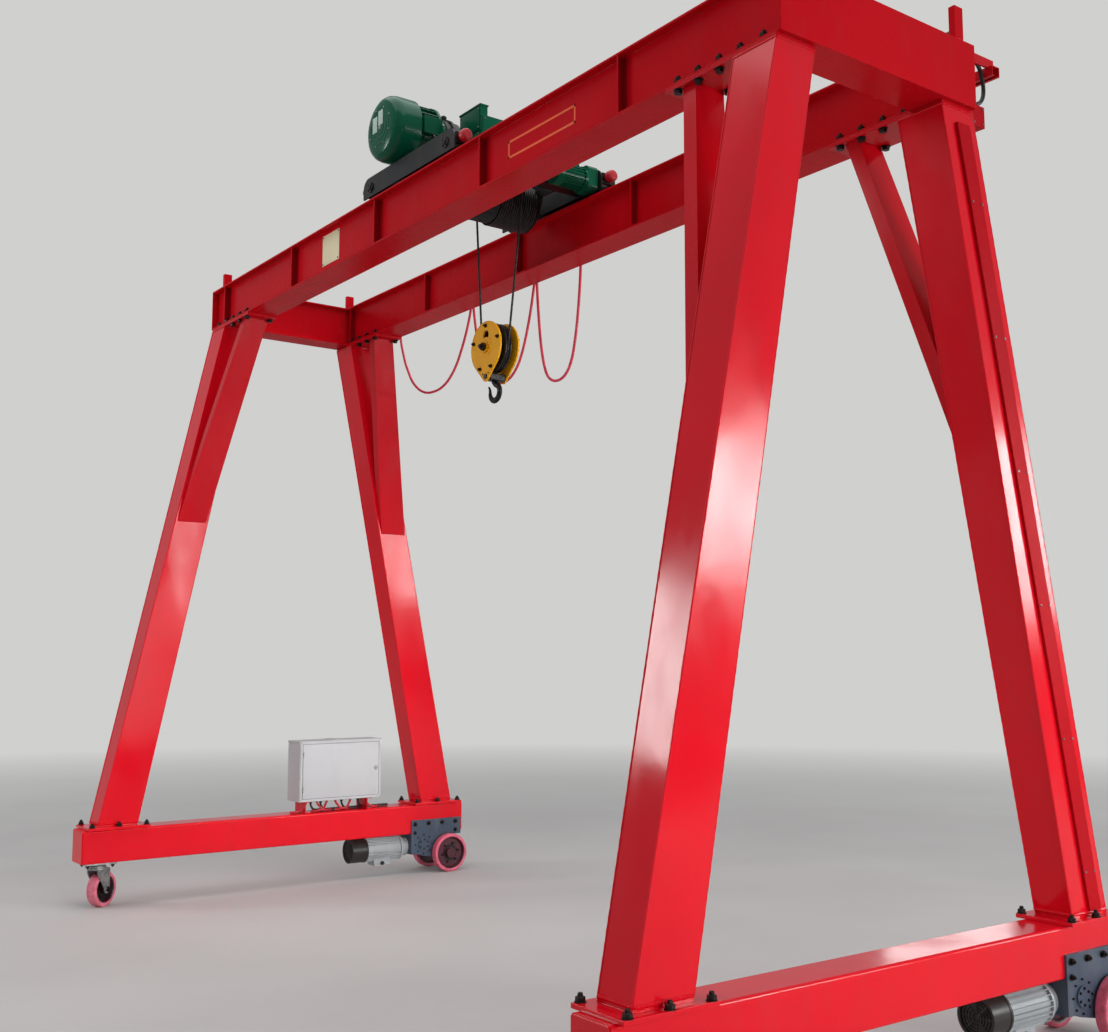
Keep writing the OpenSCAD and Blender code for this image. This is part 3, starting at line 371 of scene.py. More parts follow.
def join_rings(bm, rings):
    """Faces between rings of corners, where a ring of one corner is a tip."""
    for low, high in zip(rings, rings[1:]):
        count = max(len(low), len(high))
        for k in range(count):
            m = (k + 1) % count
            corners = [low[k], low[m]] if len(low) > 1 else [low[0]]
            corners += [high[m], high[k]] if len(high) > 1 else [high[0]]
            if len(corners) > 2:
                bm.faces.new(corners)


def lathe(bm, where, profile, sides=32):
    """A turned form: profile holds (radius, height) pairs along the place's Z."""
    rings = []
    for r, z in profile:
        around = turns(sides) if r > 1e-6 else [0.0]
        corners = [where @ Vector((r * math.cos(a), r * math.sin(a), z)) for a in around]
        rings.append([bm.verts.new(corner) for corner in corners])
    join_rings(bm, rings)


def slab(bm, low, high, edge=0.002, where=None):
    """A plate or block with rounded edges."""
    low, high = Vector(low), Vector(high)
    size = Vector([abs(v) for v in high - low])
    part = bmesh.new()
    bmesh.ops.create_cube(part, size=1, matrix=Matrix.LocRotScale((low + high) / 2, None, size))
    bmesh.ops.bevel(part, geom=part.edges[:], offset=min(edge, min(size) * 0.45), segments=2,
                    profile=0.6, affect="EDGES")
    if where is not None:
        bmesh.ops.transform(part, matrix=where, verts=part.verts[:])
    mesh = bpy.data.meshes.new("part")
    part.to_mesh(mesh)
    part.free()
    bm.from_mesh(mesh)
    bpy.data.meshes.remove(mesh)


def smooth_path(points, steps):
    """A smooth curve through the points."""
    points = [Vector(p) for p in points]
    ends = [2 * points[0] - points[1]] + points + [2 * points[-1] - points[-2]]
    path = []
    for a, b, c, d in zip(ends, ends[1:], ends[2:], ends[3:]):
        for i in range(steps):
            t = i / steps
            path.append(0.5 * (2 * b + (c - a) * t + (2 * a - 5 * b + 4 * c - d) * t * t
                               + (3 * b - a - 3 * c + d) * t ** 3))
    return path + [points[-1]]


def straight(start, end, count):
    """Evenly spaced points from one end to the other."""
    return [Vector(start).lerp(Vector(end), i / count) for i in range(count + 1)]


def tube(bm, path, radius, sides=12, shape=None):
    """A tube along a path. shape(step, angle) may change the radius."""
    path = [Vector(p) for p in path]
    last = len(path) - 1
    heading = [(path[min(i + 1, last)] - path[max(i - 1, 0)]).normalized() for i in range(last + 1)]
    side = heading[0].orthogonal().normalized()
    rings = []
    for i, (p, h) in enumerate(zip(path, heading)):
        side = (side - h * side.dot(h)).normalized()
        across = h.cross(side)
        ring = []
        for a in turns(sides):
            r = radius * (shape(i, a) if shape else 1)
            ring.append(bm.verts.new(p + r * (math.cos(a) * side + math.sin(a) * across)))
        rings.append(ring)
    join_rings(bm, rings)
    bm.faces.new(rings[0][::-1])
    bm.faces.new(rings[-1])


def strands(lay):
    """The six lobes of a laid rope, which make a turn in lay steps along it."""
    return lambda i, a: 0.8 + 0.26 * abs(math.cos((a * 6 + i * 2 * math.pi / lay) / 2))


def nut(bm, where, across=0.024, stud=0.012, washer=True):
    """A hexagon nut on a washer, with the end of its stud."""
    r = across / 2 / math.cos(math.pi / 6)
    base = 0.0
    if washer:
        inner, rim, outer, base = stud * 0.5, across * 0.66, across * 0.7, 0.0032
        lathe(bm, where, [(inner, 0), (rim, 0), (outer, 0.0008), (outer, 0.0026), (rim, base),
                          (inner, base)], 20)
    high = base + across * 0.52
    lathe(bm, where, solid((r * 0.93, base), (r, base + 0.001), (r, high - 0.0014),
                           (r * 0.88, high)), 6)
    if stud:
        tip = high + stud * 0.66
        lathe(bm, where, [(stud / 2, high - 0.002), (stud / 2, high + stud * 0.5),
                          (stud * 0.36, tip), (0, tip)], 14)


def screw(bm, where, head=0.01):
    """A cap screw's round head with its socket."""
    r = head / 2
    lathe(bm, where, solid((r, -0.001), (r, head * 0.45), (r * 0.86, head * 0.6),
                           (r * 0.52, head * 0.6), (r * 0.48, head * 0.2)), 16)


def bead(bm, start, end, size=0.006):
    """A weld bead with its ripples."""
    count = max(4, round((Vector(end) - Vector(start)).length / 0.006) * 2)
    tube(bm, straight(start, end, count), size, 7,
         lambda i, a: (0.86 if i % 2 else 1.06) * (0.25 if i in (0, count) else 1)
         * (1 + 0.05 * math.sin(i * 1.7)))


def made(name, bm, body, finish, replaces=(), angle=38):
    """Turns a mesh in the making into a piece that rides on a body."""
    bmesh.ops.recalc_face_normals(bm, faces=bm.faces[:])
    mesh = bpy.data.meshes.new(name)
    bm.to_mesh(mesh)
    bm.free()
    mesh.polygons.foreach_set("use_smooth", [True] * len(mesh.polygons))
    mesh.set_sharp_from_angle(angle=math.radians(angle))
    mesh.materials.append(finish)
    piece = bpy.data.objects.new(name, mesh)
    scene.collection.objects.link(piece)
    if body:
        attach(piece, body)
    if replaces:
        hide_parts(*replaces)
    return piece


def dress(finish, slot, *names, edge=0.0):
    """Gives CAD nodes their finish, and softens their sharp edges."""
    for name in names:
        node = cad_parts[name]
        node.data.materials.clear()
        node.data.materials.append(finish)
        if edge:
            weld = node.modifiers.new("weld", "WELD")
            weld.merge_threshold = 0.00002
            soft = node.modifiers.new("edges", "BEVEL")
            soft.width = edge
            soft.segments = 2
            soft.limit_method = "ANGLE"
            soft.angle_limit = math.radians(40)
            soft.harden_normals = False
            node.modifiers.new("normals", "WEIGHTED_NORMAL")


# Cords, with the points of each loop as (x, z) and of the supply cable as (y, z)
LOOP_1 = [
    (-2.190, 3.640), (-2.190, 3.628), (-2.184, 3.600), (-2.170, 3.545), (-2.145, 3.480),
    (-2.115, 3.410), (-2.075, 3.345), (-2.030, 3.280), (-1.975, 3.228), (-1.905, 3.184),
    (-1.825, 3.157), (-1.740, 3.150), (-1.655, 3.158), (-1.575, 3.187), (-1.508, 3.234),
    (-1.455, 3.290), (-1.412, 3.355), (-1.372, 3.425), (-1.340, 3.492), (-1.315, 3.555),
    (-1.301, 3.600), (-1.295, 3.628), (-1.295, 3.640)]
LOOP_2 = [
    (-1.275, 3.640), (-1.275, 3.628), (-1.269, 3.595), (-1.258, 3.535), (-1.242, 3.462),
    (-1.220, 3.385), (-1.190, 3.305), (-1.155, 3.230), (-1.112, 3.160), (-1.060, 3.110),
    (-1.000, 3.080), (-0.940, 3.072), (-0.880, 3.082), (-0.825, 3.112), (-0.775, 3.162),
    (-0.735, 3.230), (-0.703, 3.305), (-0.675, 3.385), (-0.652, 3.462), (-0.634, 3.535),
    (-0.621, 3.595), (-0.615, 3.628), (-0.615, 3.640)]
LOOP_3 = [
    (-0.595, 3.640), (-0.595, 3.628), (-0.593, 3.595), (-0.588, 3.530), (-0.580, 3.445),
    (-0.570, 3.355), (-0.558, 3.265), (-0.542, 3.180), (-0.520, 3.100), (-0.488, 3.035),
    (-0.442, 3.000), (-0.388, 2.990), (-0.335, 3.002), (-0.290, 3.038), (-0.255, 3.100),
    (-0.232, 3.180), (-0.214, 3.265), (-0.200, 3.355), (-0.189, 3.445), (-0.181, 3.530),
    (-0.177, 3.595), (-0.175, 3.628), (-0.175, 3.640)]
SUPPLY = [
    (0.596, 3.757), (0.614, 3.750), (0.630, 3.738), (0.641, 3.720), (0.647, 3.698),
    (0.654, 3.676), (0.656, 3.652), (0.653, 3.628), (0.643, 3.606), (0.627, 3.590),
    (0.610, 3.582), (0.600, 3.572), (0.600, 3.560)]


def free_cord(name, route, finish, diameter):
    """A cable along a smooth path through a route."""
    path = smooth_path(route, 6)
    bm = bmesh.new()
    tube(bm, path, diameter / 2)
    piece = made(name, bm, None, finish, [name.replace("_cord", "")], 80)
    return piece


loop_cords = [
    free_cord(f"festoon_loop_{i + 1}_cord", [(x, FESTOON_Y, z) for x, z in route], cable_pink,
              CABLE_D)
    for i, route in enumerate((LOOP_1, LOOP_2, LOOP_3))]
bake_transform(loop_cords[0])
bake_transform(loop_cords[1])
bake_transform(loop_cords[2])
supply = free_cord("supply_cable_cord", [(SUPPLY_X, y, z) for y, z in SUPPLY], rubber_black,
                   CABLE_D)
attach(supply, "frame")

# The CAD nodes' finishes
dress(red, "crane_red", "bottom_beams", "legs", "cabinet_bracket", edge=0.002)
dress(girder_red_shaded, "crane_red", "end_beams", "front_girder", "back_girder", "rail_stops", edge=0.002)
dress(brace_red, "brace_red", "knee_braces", "leg_head_plates", edge=0.0015)
dress(duct_red, "brace_red", "cable_entry", edge=0.0015)
dress(rail_steel, "rail_steel", "trolley_rails", edge=0.002)
dress(zinc, "zinc_steel", "caster_plates", edge=0.0012)
dress(zinc, "zinc_steel", "near_caster_fork", "far_caster_fork", edge=0.0008)
dress(pink_near, "pink_tyre", "near_caster_wheel")
dress(pink_far, "pink_tyre", "far_caster_wheel")
dress(grey_blue, "housing_grey", "drive_housings", edge=0.0015)
dress(motor_silver, "motor_silver", "drive_motors")
dress(drive_finish, "pink_tyre", "near_drive_wheels", "far_drive_wheels")
dress(black, "trolley_black", "trolley_frame", edge=0.0012)
dress(dark_steel, "dark_steel", "trolley_wheel_1", "trolley_wheel_2", "trolley_wheel_3",
      "trolley_wheel_4", "hook_crosshead", "block_sheave", "festoon_carrier_1", "festoon_carrier_2")
dress(buffer_red, "buffer_red", "trolley_buffers")
dress(green, "hoist_green", "cross_drive", "hoist_motor", "control_box", edge=0.0015)
dress(drum_grey, "drum_grey", "hoist_drum")
dress(gear_black, "trolley_black", "hoist_gearbox", edge=0.002)
dress(rope_steel, "rope_steel", "hoist_ropes", "sheave_rope")
dress(yellow, "block_yellow", "block_cheeks", edge=0.0012)
dress(forged, "forged_steel", "lifting_hook")
dress(brace_red, "brace_red", "festoon_rail", edge=0.0006)
dress(white, "cabinet_white", "control_cabinet", edge=0.002)


# Fasteners and welds of the frame
def leg_edge(z, outer_x, outer_y):
    """A point at a height on one of the four edges of the leg in the +X, +Y corner."""
    share = (z - BEAM_TOP) / (LEG_HEAD - BEAM_TOP)
    inset, width, out_y, depth = [
        foot + (head - foot) * share for foot, head in (LEG_INSET, LEG_WIDTH, LEG_OUT_Y, LEG_DEPTH)]
    x = OUTER_X - inset - (0 if outer_x else width)
    return Vector((x, out_y - (0 if outer_y else depth), z))


bm = bmesh.new()
for sx, sy in CORNERS:
    for y in (1.230, 1.075, 0.915):
        for x in (SIDE_X - 0.106, SIDE_X + 0.106):
            nut(bm, point_at((sx * x, sy * y, FLANGE_TOP), spin=x * 9 + y * 7), 0.026, 0.016)
    for back in (0.094, 0.205, 0.310, 0.419, 0.527):
        x = sx * (OUTER_X - back)
        for y in (0.365, 0.515):
            nut(bm, point_at((x, sy * y, WEB_LOW - 0.001), spin=back * 40 + y), 0.027, 0.016)
            if back > 0.25:  # past the leg's own head, the plate's underside shows
                nut(bm, point_at((x, sy * y, LEG_HEAD), DOWN, back * 9), 0.027, 0)
made("frame_bolts", bm, "frame", bolt_steel)

LEG_EDGES = ((0, 0), (1, 0), (1, 1), (0, 1))
bm = bmesh.new()
for sx, sy in CORNERS:
    flip = Matrix.Diagonal((sx, sy, 1))
    foot = [flip @ leg_edge(LEG_FOOT, *e) for e in LEG_EDGES]
    head = [flip @ leg_edge(LEG_HEAD, *e) for e in LEG_EDGES]
    for row, drop, size in ((foot, 0, 0.0065), (head, 0.002, 0.005)):
        row = [p - Vector((0, 0, drop)) for p in row]
        for a, b in zip(row, row[1:] + row[:1]):
            bead(bm, a, b, size)
    for (outer_x, _), a, b in zip(LEG_EDGES, foot, head):
        inward = Vector((sx * (-0.0022 if outer_x else 0.0022), 0, 0))
        tube(bm, straight(a + inward, b + inward, 240), 0.0034, 6,
             lambda i, _: 0.92 + 0.1 * math.sin(i * 1.9) + 0.05 * math.sin(i * 0.53))
made("leg_welds", bm, "frame", red)

bm = bmesh.new()
for sy in (-1, 1):
    for i in range(RIBS):
        rib = RIB_X - RIB_PITCH * i
        for s in (-1, 1):
            face, rim = sy * (GIRDER_Y + s * WEB_FACE), sy * (GIRDER_Y + s * FLANGE_RIM)
            for x in (rib - 0.004, rib + 0.004):
                bead(bm, (x, face, WEB_LOW + 0.001), (x, face, WEB_HIGH - 0.001), 0.0035)
                for z in (WEB_LOW, WEB_HIGH):
                    bead(bm, (x, face, z), (x, rim, z), 0.0032)
    for s in (-1, 1):
        face = sy * (GIRDER_Y + s * WEB_FACE)
        for z in (WEB_LOW - 0.0005, WEB_HIGH + 0.0005):
            tube(bm, straight((-2.32, face, z), (2.32, face, z), 700), 0.0036, 6,
                 lambda i, _: 0.9 + 0.12 * math.sin(i * 2.1))
    for i in range(13):
        x = -2.3 + i * 0.38
        for s in (-1, 1):
            y = sy * (GIRDER_Y + s * 0.0205)
            bead(bm, (x, y, RAIL_FOOT), (x + 0.08, y, RAIL_FOOT), 0.004)
made("girder_welds", bm, "frame", girder_red_shaded)

# Bare plates where the girder is marked
bm = bmesh.new()
for (x0, z0), (x1, z1) in border((0.832, 3.612), (1.317, 3.692), 0.010):
    slab(bm, (x0, -0.4957, z0), (x1, -0.4945, z1), 0.0003)
made("bare_strip_border", bm, "frame", strip_orange)
bm = bmesh.new()
slab(bm, (-0.978, -0.4968, 3.575), (-0.780, -0.4952, 3.745), 0.0006)
made("bare_plate", bm, "frame", cream)
bm = bmesh.new()
for x in (-0.968, -0.790):
    for z in (3.585, 3.735):
        screw(bm, point_at((x, -0.4966, z), FRONT), 0.008)
made("bare_plate_rivets", bm, "frame", zinc)

# Casters
for side, s in SIDES:
    centre = Vector((s * SIDE_X, CASTER_Y, 0))
    bm = bmesh.new()
    for x in (-0.052, 0.052):
        for y in (-0.072, 0.072):
            nut(bm, point_at(centre + Vector((x, y, 0.250)), DOWN, x * 20), 0.018, 0.010)
    made(f"{side}_caster_bolts", bm, "frame", bolt_steel)
    turn = Matrix.Translation(centre) @ Matrix.Rotation(CASTER_YAW, 4, "Z")
    bm = bmesh.new()
    for e in (-1, 1):
        nut(bm, turn @ point_at((e * 0.047, CASTER_TRAIL, CASTER_R), (e, 0, 0)), 0.022)
    nut(bm, turn @ point_at((0, 0, 0.208), DOWN), 0.026, 0.014)
    made(f"{side}_caster_nuts", bm, f"{side}_caster", bolt_steel)
    bm = bmesh.new()
    for e in (-1, 1):
        where = turn @ point_at((e * 0.0095, CASTER_TRAIL, CASTER_R), (e, 0, 0))
        lathe(bm, where, [(0.030, -0.001), (0.058, -0.001), (0.060, 0.002), (0.034, 0.0045),
                          (0.030, 0.0045)], 48)
        for a in turns(6):
            screw(bm, on_face(where, 0.046, a, 0.003), 0.009)
    made(f"{side}_caster_hub", bm, f"{side}_caster_roller", bolt_steel)

# Driven wheels, their housings and motors
HOUSING_NUTS = ((0.905, 0.325, 0.022), (1.010, 0.325, 0.022), (1.115, 0.325, 0.022),
                (1.220, 0.325, 0.022), (0.905, 0.268, 0.018), (1.220, 0.268, 0.018))  # y, z, size
for side, s in SIDES:
    mid = s * SIDE_X
    bm = bmesh.new()
    for e in (-1, 1):
        cap = point_at((mid + e * 0.158, DRIVE_Y, DRIVE_R), (e, 0, 0))
        lathe(bm, cap, solid((0.033, -0.004), (0.033, 0.0)), 40)
        disc = point_at((mid + e * 0.1405, DRIVE_Y, DRIVE_R), (e, 0, 0))
        for a in turns(6, 0.2):
            screw(bm, on_face(disc, 0.062, a, 0.001), 0.014)
        lathe(bm, disc, hoop(0.040, 0.012, 0.002)[:-1], 48)
    made(f"{side}_drive_hubs", bm, f"{side}_drive", bolt_steel)
    bm = bmesh.new()
    for e in (-1, 1):
        face, axis = mid + e * 0.100, (e, 0, 0)
        for y, z, size in HOUSING_NUTS:
            nut(bm, point_at((face, y, z), axis, y * 8), size)
        for a in turns(6, 0.5):
            hub = round_x((mid + e * 0.108, HUB_Y, HUB_Z), 0.030, a)
            nut(bm, point_at(hub, axis, a), 0.010, 0, False)
        for a in turns(8):
            screw(bm, point_at(round_x((face, HUB_Y, HUB_Z), 0.062, a), axis), 0.009)
    made(f"{side}_housing_bolts", bm, "frame", bolt_steel)
    bm = bmesh.new()
    for a in turns(8, 0.3):
        for y, radius, size in ((COWL_END - 0.0005, 0.068, 0.009), (0.830, 0.050, 0.010)):
            screw(bm, point_at(round_y((mid, y, TRAVEL_MOTOR_Z), radius, a), FRONT), size)
    for x in (-0.036, 0.036):
        for y in (0.637, 0.739):
            screw(bm, point_at((mid + x, y, 0.072), DOWN), 0.007)
    made(f"{side}_motor_screws", bm, "frame", zinc)
    bm = bmesh.new()
    guard = point_at((mid, 0.466, TRAVEL_MOTOR_Z), FRONT)
    for r in (0.018, 0.030, 0.042, 0.054, 0.066):
        lathe(bm, guard, hoop(r, 0.0035, 0.003), 40)
    for a in turns(8):
        slab(bm, (0.010, -0.002, -0.0005), (0.070, 0.002, 0.0025), 0.0005,
             guard @ Matrix.Rotation(a, 4, "Z"))
    lathe(bm, point_at((mid, 0.474, TRAVEL_MOTOR_Z), FRONT), solid((0.060, 0), (0.060, 0.002)), 40)
    made(f"{side}_fan_grille", bm, "frame", cowl_black)
    bm = bmesh.new()
    lathe(bm, point_at((mid + 0.045, 0.688, 0.086), RIGHT),
          solid((0.013, -0.004), (0.013, 0.004), (0.011, 0.006), (0.011, 0.014), (0.009, 0.018),
                (0.006, 0.020)), 12)
    made(f"{side}_motor_gland", bm, "frame", cowl_black)

# Trolley
bm = bmesh.new()
for sx, sy in CORNERS:
    wheel = Vector((HOME + sx * AXLE_X, sy * GIRDER_Y, AXLE_Z))
    for e in (-1, 1):
        face = wheel + Vector((0, e * 0.051, 0))
        for a in turns(4, math.pi / 4):
            nut(bm, point_at(round_y(face, 0.0205, a), (0, e, 0), a), 0.008, 0, False)
        lathe(bm, point_at(face, (0, e, 0)), solid((0.0125, 0), (0.0125, 0.004), (0.011, 0.0055)), 24)
    for a in turns(3, math.pi / 2):
        spot = (HOME + sx * 0.450, wheel.y + 0.034 * math.cos(a), 3.8838 + 0.018 * math.sin(a))
        screw(bm, point_at(spot, (sx, 0, 0)), 0.006)
for y, e, places in ((-0.140, -1, (-0.195, 0.195)), (0.270, 1, (-0.195, -0.150, 0.150, 0.195))):
    for x in places:
        for z in (3.858, 3.908):
            nut(bm, point_at((HOME + x, y, z), (0, e, 0), x * 60), 0.018, 0.010)
for a in turns(8, 0.2):
    nut(bm, point_at(round_y(DRUM + Vector((0, 0.292, 0)), 0.048, a), BACK, a), 0.014, 0)
lathe(bm, point_at(DRUM + Vector((0, 0.2925, 0)), BACK),
      solid((0.034, 0), (0.034, 0.004), (0.030, 0.006), (0.010, 0.006), (0.010, 0.012)))
for y in (-0.165, -0.065):
    nut(bm, point_at((HOME + 0.253, y, 3.933), spin=y * 9), 0.018, 0.010)
    screw(bm, point_at((HOME + 0.230, y, 3.965), RIGHT), 0.012)
made("trolley_bolts", bm, "trolley", bolt_steel)

bm = bmesh.new()
for sx, sy in CORNERS:
    x, y = HOME + sx * 0.260, sy * 0.3945
    for e in (-0.040, 0.040):
        bead(bm, (x + e, y, 3.848), (x + e, y, 3.917), 0.004)
    bead(bm, (x - 0.032, y, 3.925), (x + 0.032, y, 3.925), 0.004)
for y in (-0.140, -0.128, 0.258, 0.270):
    for x in (HOME - 0.2195, HOME + 0.2195):
        bead(bm, (x, y, 3.842), (x, y, 3.920), 0.004)
made("trolley_welds", bm, "trolley", black)

# Drum, gearbox and hoist motor
ROPE_TURNS, STEPS_A_TURN = 16, 60
bm = bmesh.new()
path = []
for i in range(ROPE_TURNS * STEPS_A_TURN + 1):
    wound = i / STEPS_A_TURN
    middle = DRUM + Vector((0, 0.010 + 0.014 * wound, 0))
    path.append(round_y(middle, DRUM_ROPE_R, math.pi - 2 * math.pi * wound))
tube(bm, path, ROPE_R, 10, strands(9))
made("drum_windings", bm, "drum", rope_steel, angle=80)

bm = bmesh.new()
for a in (0.50, 0.85, 1.20):
    out = Vector((math.cos(a), 0, math.sin(a)))
    slab(bm, (-0.016, -0.014, 0), (0.016, 0.010, 0.012), 0.003,
         point_at(round_y(DRUM + Vector((0, 0.232, 0)), 0.118, a), out))
    nut(bm, point_at(round_y(DRUM + Vector((0, 0.230, 0)), 0.130, a), out, a), 0.014, 0.008)
for e, y in ((-1, -0.122), (1, 0.250)):
    face = DRUM + Vector((0, y, 0))
    for a in turns(8, 0.1):
        nut(bm, point_at(round_y(face, 0.095, a), (0, e, 0), a), 0.008, 0, False)
    lathe(bm, point_at(face, (0, e, 0)),
          [(0.050, 0), (0.078, 0), (0.076, 0.003), (0.054, 0.003), (0.050, 0)], 48)
made("drum_clamps", bm, "drum", bolt_steel)


def belt_points(a, ra, b, rb, y, count):
    """Evenly spaced points at y along the outline round two circles, whose centres are (x, z)."""
    a, b = Vector(a), Vector(b)
    lean = math.atan2(b.y - a.y, b.x - a.x)
    turn = math.acos((ra - rb) / (b - a).length)
    outline = []
    for centre, r, first, last in ((a, ra, lean + turn, lean - turn + 2 * math.pi),
                                   (b, rb, lean - turn, lean + turn)):
        arc = [first + (last - first) * i / 24 for i in range(25)]
        outline += [centre + r * Vector((math.cos(t), math.sin(t))) for t in arc]
    outline.append(outline[0])
    lengths = [0.0]
    for p, q in zip(outline, outline[1:]):
        lengths.append(lengths[-1] + (q - p).length)
    found = []
    for i in range(count):
        goal = lengths[-1] * i / count
        k = next(j for j in range(len(lengths) - 1) if lengths[j + 1] >= goal)
        share = (goal - lengths[k]) / max(lengths[k + 1] - lengths[k], 1e-9)
        p = outline[k].lerp(outline[k + 1], share)
        found.append(Vector((p.x, y, p.y)))
    return found


GEAR_FACE = -0.2285
drum_xz, motor_xz = (DRUM.x, DRUM.z), (MOTOR.x, MOTOR.z)
bm = bmesh.new()
for p in belt_points(drum_xz, 0.1285, motor_xz, 0.1185, -0.194, 22):
    nut(bm, point_at(p, FRONT, p.x * 40), 0.010, 0, False)
for a in turns(6):
    nut(bm, point_at(round_y(DRUM + Vector((0, -0.238, 0)), 0.044, a), FRONT, a), 0.013, 0)
made("gearbox_bolts", bm, "trolley", bolt_steel)
bm = bmesh.new()
outline = belt_points(drum_xz, 0.104, motor_xz, 0.094, GEAR_FACE, 72)
tube(bm, outline + outline[:1], 0.004, 8)
across = Vector((0.902, 0, 0.432)) * 0.092
for share in (0.30, 0.42, 0.54):
    p = DRUM.lerp(MOTOR, share) + Vector((0, GEAR_FACE, 0))
    tube(bm, [p - across, p + across], 0.005, 8)
lathe(bm, point_at((DRUM.x + 0.065, -0.229, DRUM.z + 0.070), FRONT),
      solid((0.013, 0), (0.013, 0.008), (0.010, 0.011)), 6)
lathe(bm, point_at((MOTOR.x, -0.184, MOTOR.z + 0.123)),
      solid((0.012, 0), (0.012, 0.010), (0.016, 0.012), (0.016, 0.024), (0.010, 0.030)), 20)
made("gearbox_ribs", bm, "trolley", gear_black)

cover = MOTOR + Vector((0, -0.558, 0))
bm = bmesh.new()
for a in turns(8, 0.39):
    screw(bm, point_at(round_y(cover, 0.100, a) + Vector((0, 0.0003, 0)), FRONT), 0.008)
for a in turns(8, 0.2):
    nut(bm, point_at(round_y(MOTOR + Vector((0, -0.280, 0)), 0.147, a), BACK, a), 0.013, 0)
lathe(bm, point_at(cover + Vector((0, 0.0005, 0)), FRONT), solid((0.012, 0), (0.012, 0.003)), 6)
made("motor_screws", bm, "trolley", zinc)
bm = bmesh.new()
lathe(bm, point_at(MOTOR + Vector((0, -0.500, 0)), FRONT), hoop(0.1662, 0.0016, 0.0035), 96)
for r in (0.034, 0.062, 0.089):
    lathe(bm, point_at(cover, FRONT), [(r, -0.001), (r + 0.005, -0.001), (r + 0.004, 0.0016),
                                       (r + 0.001, 0.0016), (r, -0.001)], 60)
slab(bm, MOTOR + Vector((0.120, -0.400, -0.042)), MOTOR + Vector((0.174, -0.303, 0.042)), 0.006)
slab(bm, MOTOR + Vector((0.170, -0.403, -0.045)), MOTOR + Vector((0.180, -0.300, 0.045)), 0.003)
made("motor_cover_rings", bm, "trolley", green)
bm = bmesh.new()
for x, z, half in ((-0.050, 0.024, 0.041), (0.008, 0.048, 0.038)):
    slab(bm, cover + Vector((x - 0.023, -0.0026, z - half)),
         cover + Vector((x + 0.023, 0.001, z + half)), 0.0012)
made("motor_bare_plates", bm, "trolley", label_pale)

# Control boxes and their leads
bm = bmesh.new()
for face, places, heights, size in ((BOX_FRONT, (0.046, 0.208), (4.076, 4.171), 0.007),
                                    (BOX_LOW_FRONT, (0.080, 0.202), (4.002, 4.046), 0.006)):
    for x in places:
        for z in heights:
            screw(bm, point_at((HOME + x, face, z), FRONT), size)
for y in (-0.174, -0.056):
    for z in (4.008, 4.119):
        screw(bm, point_at((HOME + BOX_SIDE, y, z), RIGHT), 0.007)
made("box_screws", bm, "trolley", zinc)
bm = bmesh.new()
for low, high in (((0.038, BOX_FRONT, 4.067), (0.216, BOX_FRONT + 0.0036, 4.180)),
                  ((BOX_SIDE - 0.0036, -0.184, 3.998), (BOX_SIDE, -0.046, 4.129)),
                  ((0.070, BOX_LOW_FRONT, 3.995), (0.212, BOX_LOW_FRONT + 0.0036, 4.053))):
    slab(bm, low, high, 0.0015, Matrix.Translation((HOME, 0, 0)))
made("box_covers", bm, "trolley", green)
bm = bmesh.new()
for route in (
        ((0.190, -0.075, 3.990), (0.205, -0.040, 3.962), (0.255, 0.080, 3.952),
         (0.310, 0.200, 3.950), (0.338, 0.235, 3.948)),
        ((0.105, -0.165, 3.990), (0.100, -0.185, 3.966), (0.080, -0.270, 3.975),
         (0.045, -0.340, 4.035), (0.022, -0.350, 4.060)),
        ((0.205, -0.120, 3.990), (0.212, -0.090, 3.960), (0.215, 0.120, 3.948),
         (0.170, 0.310, 3.946), (0.060, 0.392, 3.935))):
    route = [(HOME + x, y, z) for x, y, z in route]
    tube(bm, smooth_path(route, 8), 0.0065, 10)
    lathe(bm, point_at(route[0], DOWN),
          solid((0.011, -0.002), (0.011, 0.008), (0.008, 0.016)), 12)
made("trolley_leads", bm, "trolley", rubber_black)

bm = bmesh.new()
axle = Vector((HOME + AXLE_X, 0, AXLE_Z))
for a in turns(6, 0.3):
    nut(bm, point_at(round_y(axle, 0.053, a) + Vector((0, 0.3147, 0)), FRONT, a), 0.010, 0, False)
for r in (0.014, 0.026, 0.038, 0.050):
    lathe(bm, point_at(axle + Vector((0, 0.1487, 0)), FRONT), hoop(r, 0.004, 0.002), 36)
for x in (-0.026, 0.026):
    for y in (0.217, 0.281):
        screw(bm, point_at((axle.x + x, y, 3.968)), 0.006)
made("cross_drive_screws", bm, "trolley", bolt_steel)

# Ropes
bm = bmesh.new()
for low, high in ((BLOCK - Vector((SHEAVE_ROPE_R, 0, 0)),
                   DRUM + Vector((-DRUM_ROPE_R - 0.002, 0.010, 0))),
                  (BLOCK + Vector((SHEAVE_ROPE_R, 0, 0)), ROPE_END)):
    tube(bm, straight(low, high, 260), ROPE_R, 14, strands(12))
ropes = made("wire_ropes", bm, None, rope_steel, ["hoist_ropes"], 80)
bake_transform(ropes)
bm = bmesh.new()
wrap = [round_y(BLOCK, SHEAVE_ROPE_R, -math.pi * i / 120) for i in range(121)]
tube(bm, wrap, ROPE_R, 14, strands(12))
made("sheave_wrap", bm, "hook_block", rope_steel, ["sheave_rope"], 80)
bm = bmesh.new()
lathe(bm, point_at(ROPE_END - Vector((0.003, 0.002, 0.028))),
      solid((0.0075, 0), (0.009, 0.004), (0.0135, 0.026), (0.0135, 0.044)), 24)
made("rope_socket", bm, "trolley", bolt_steel)

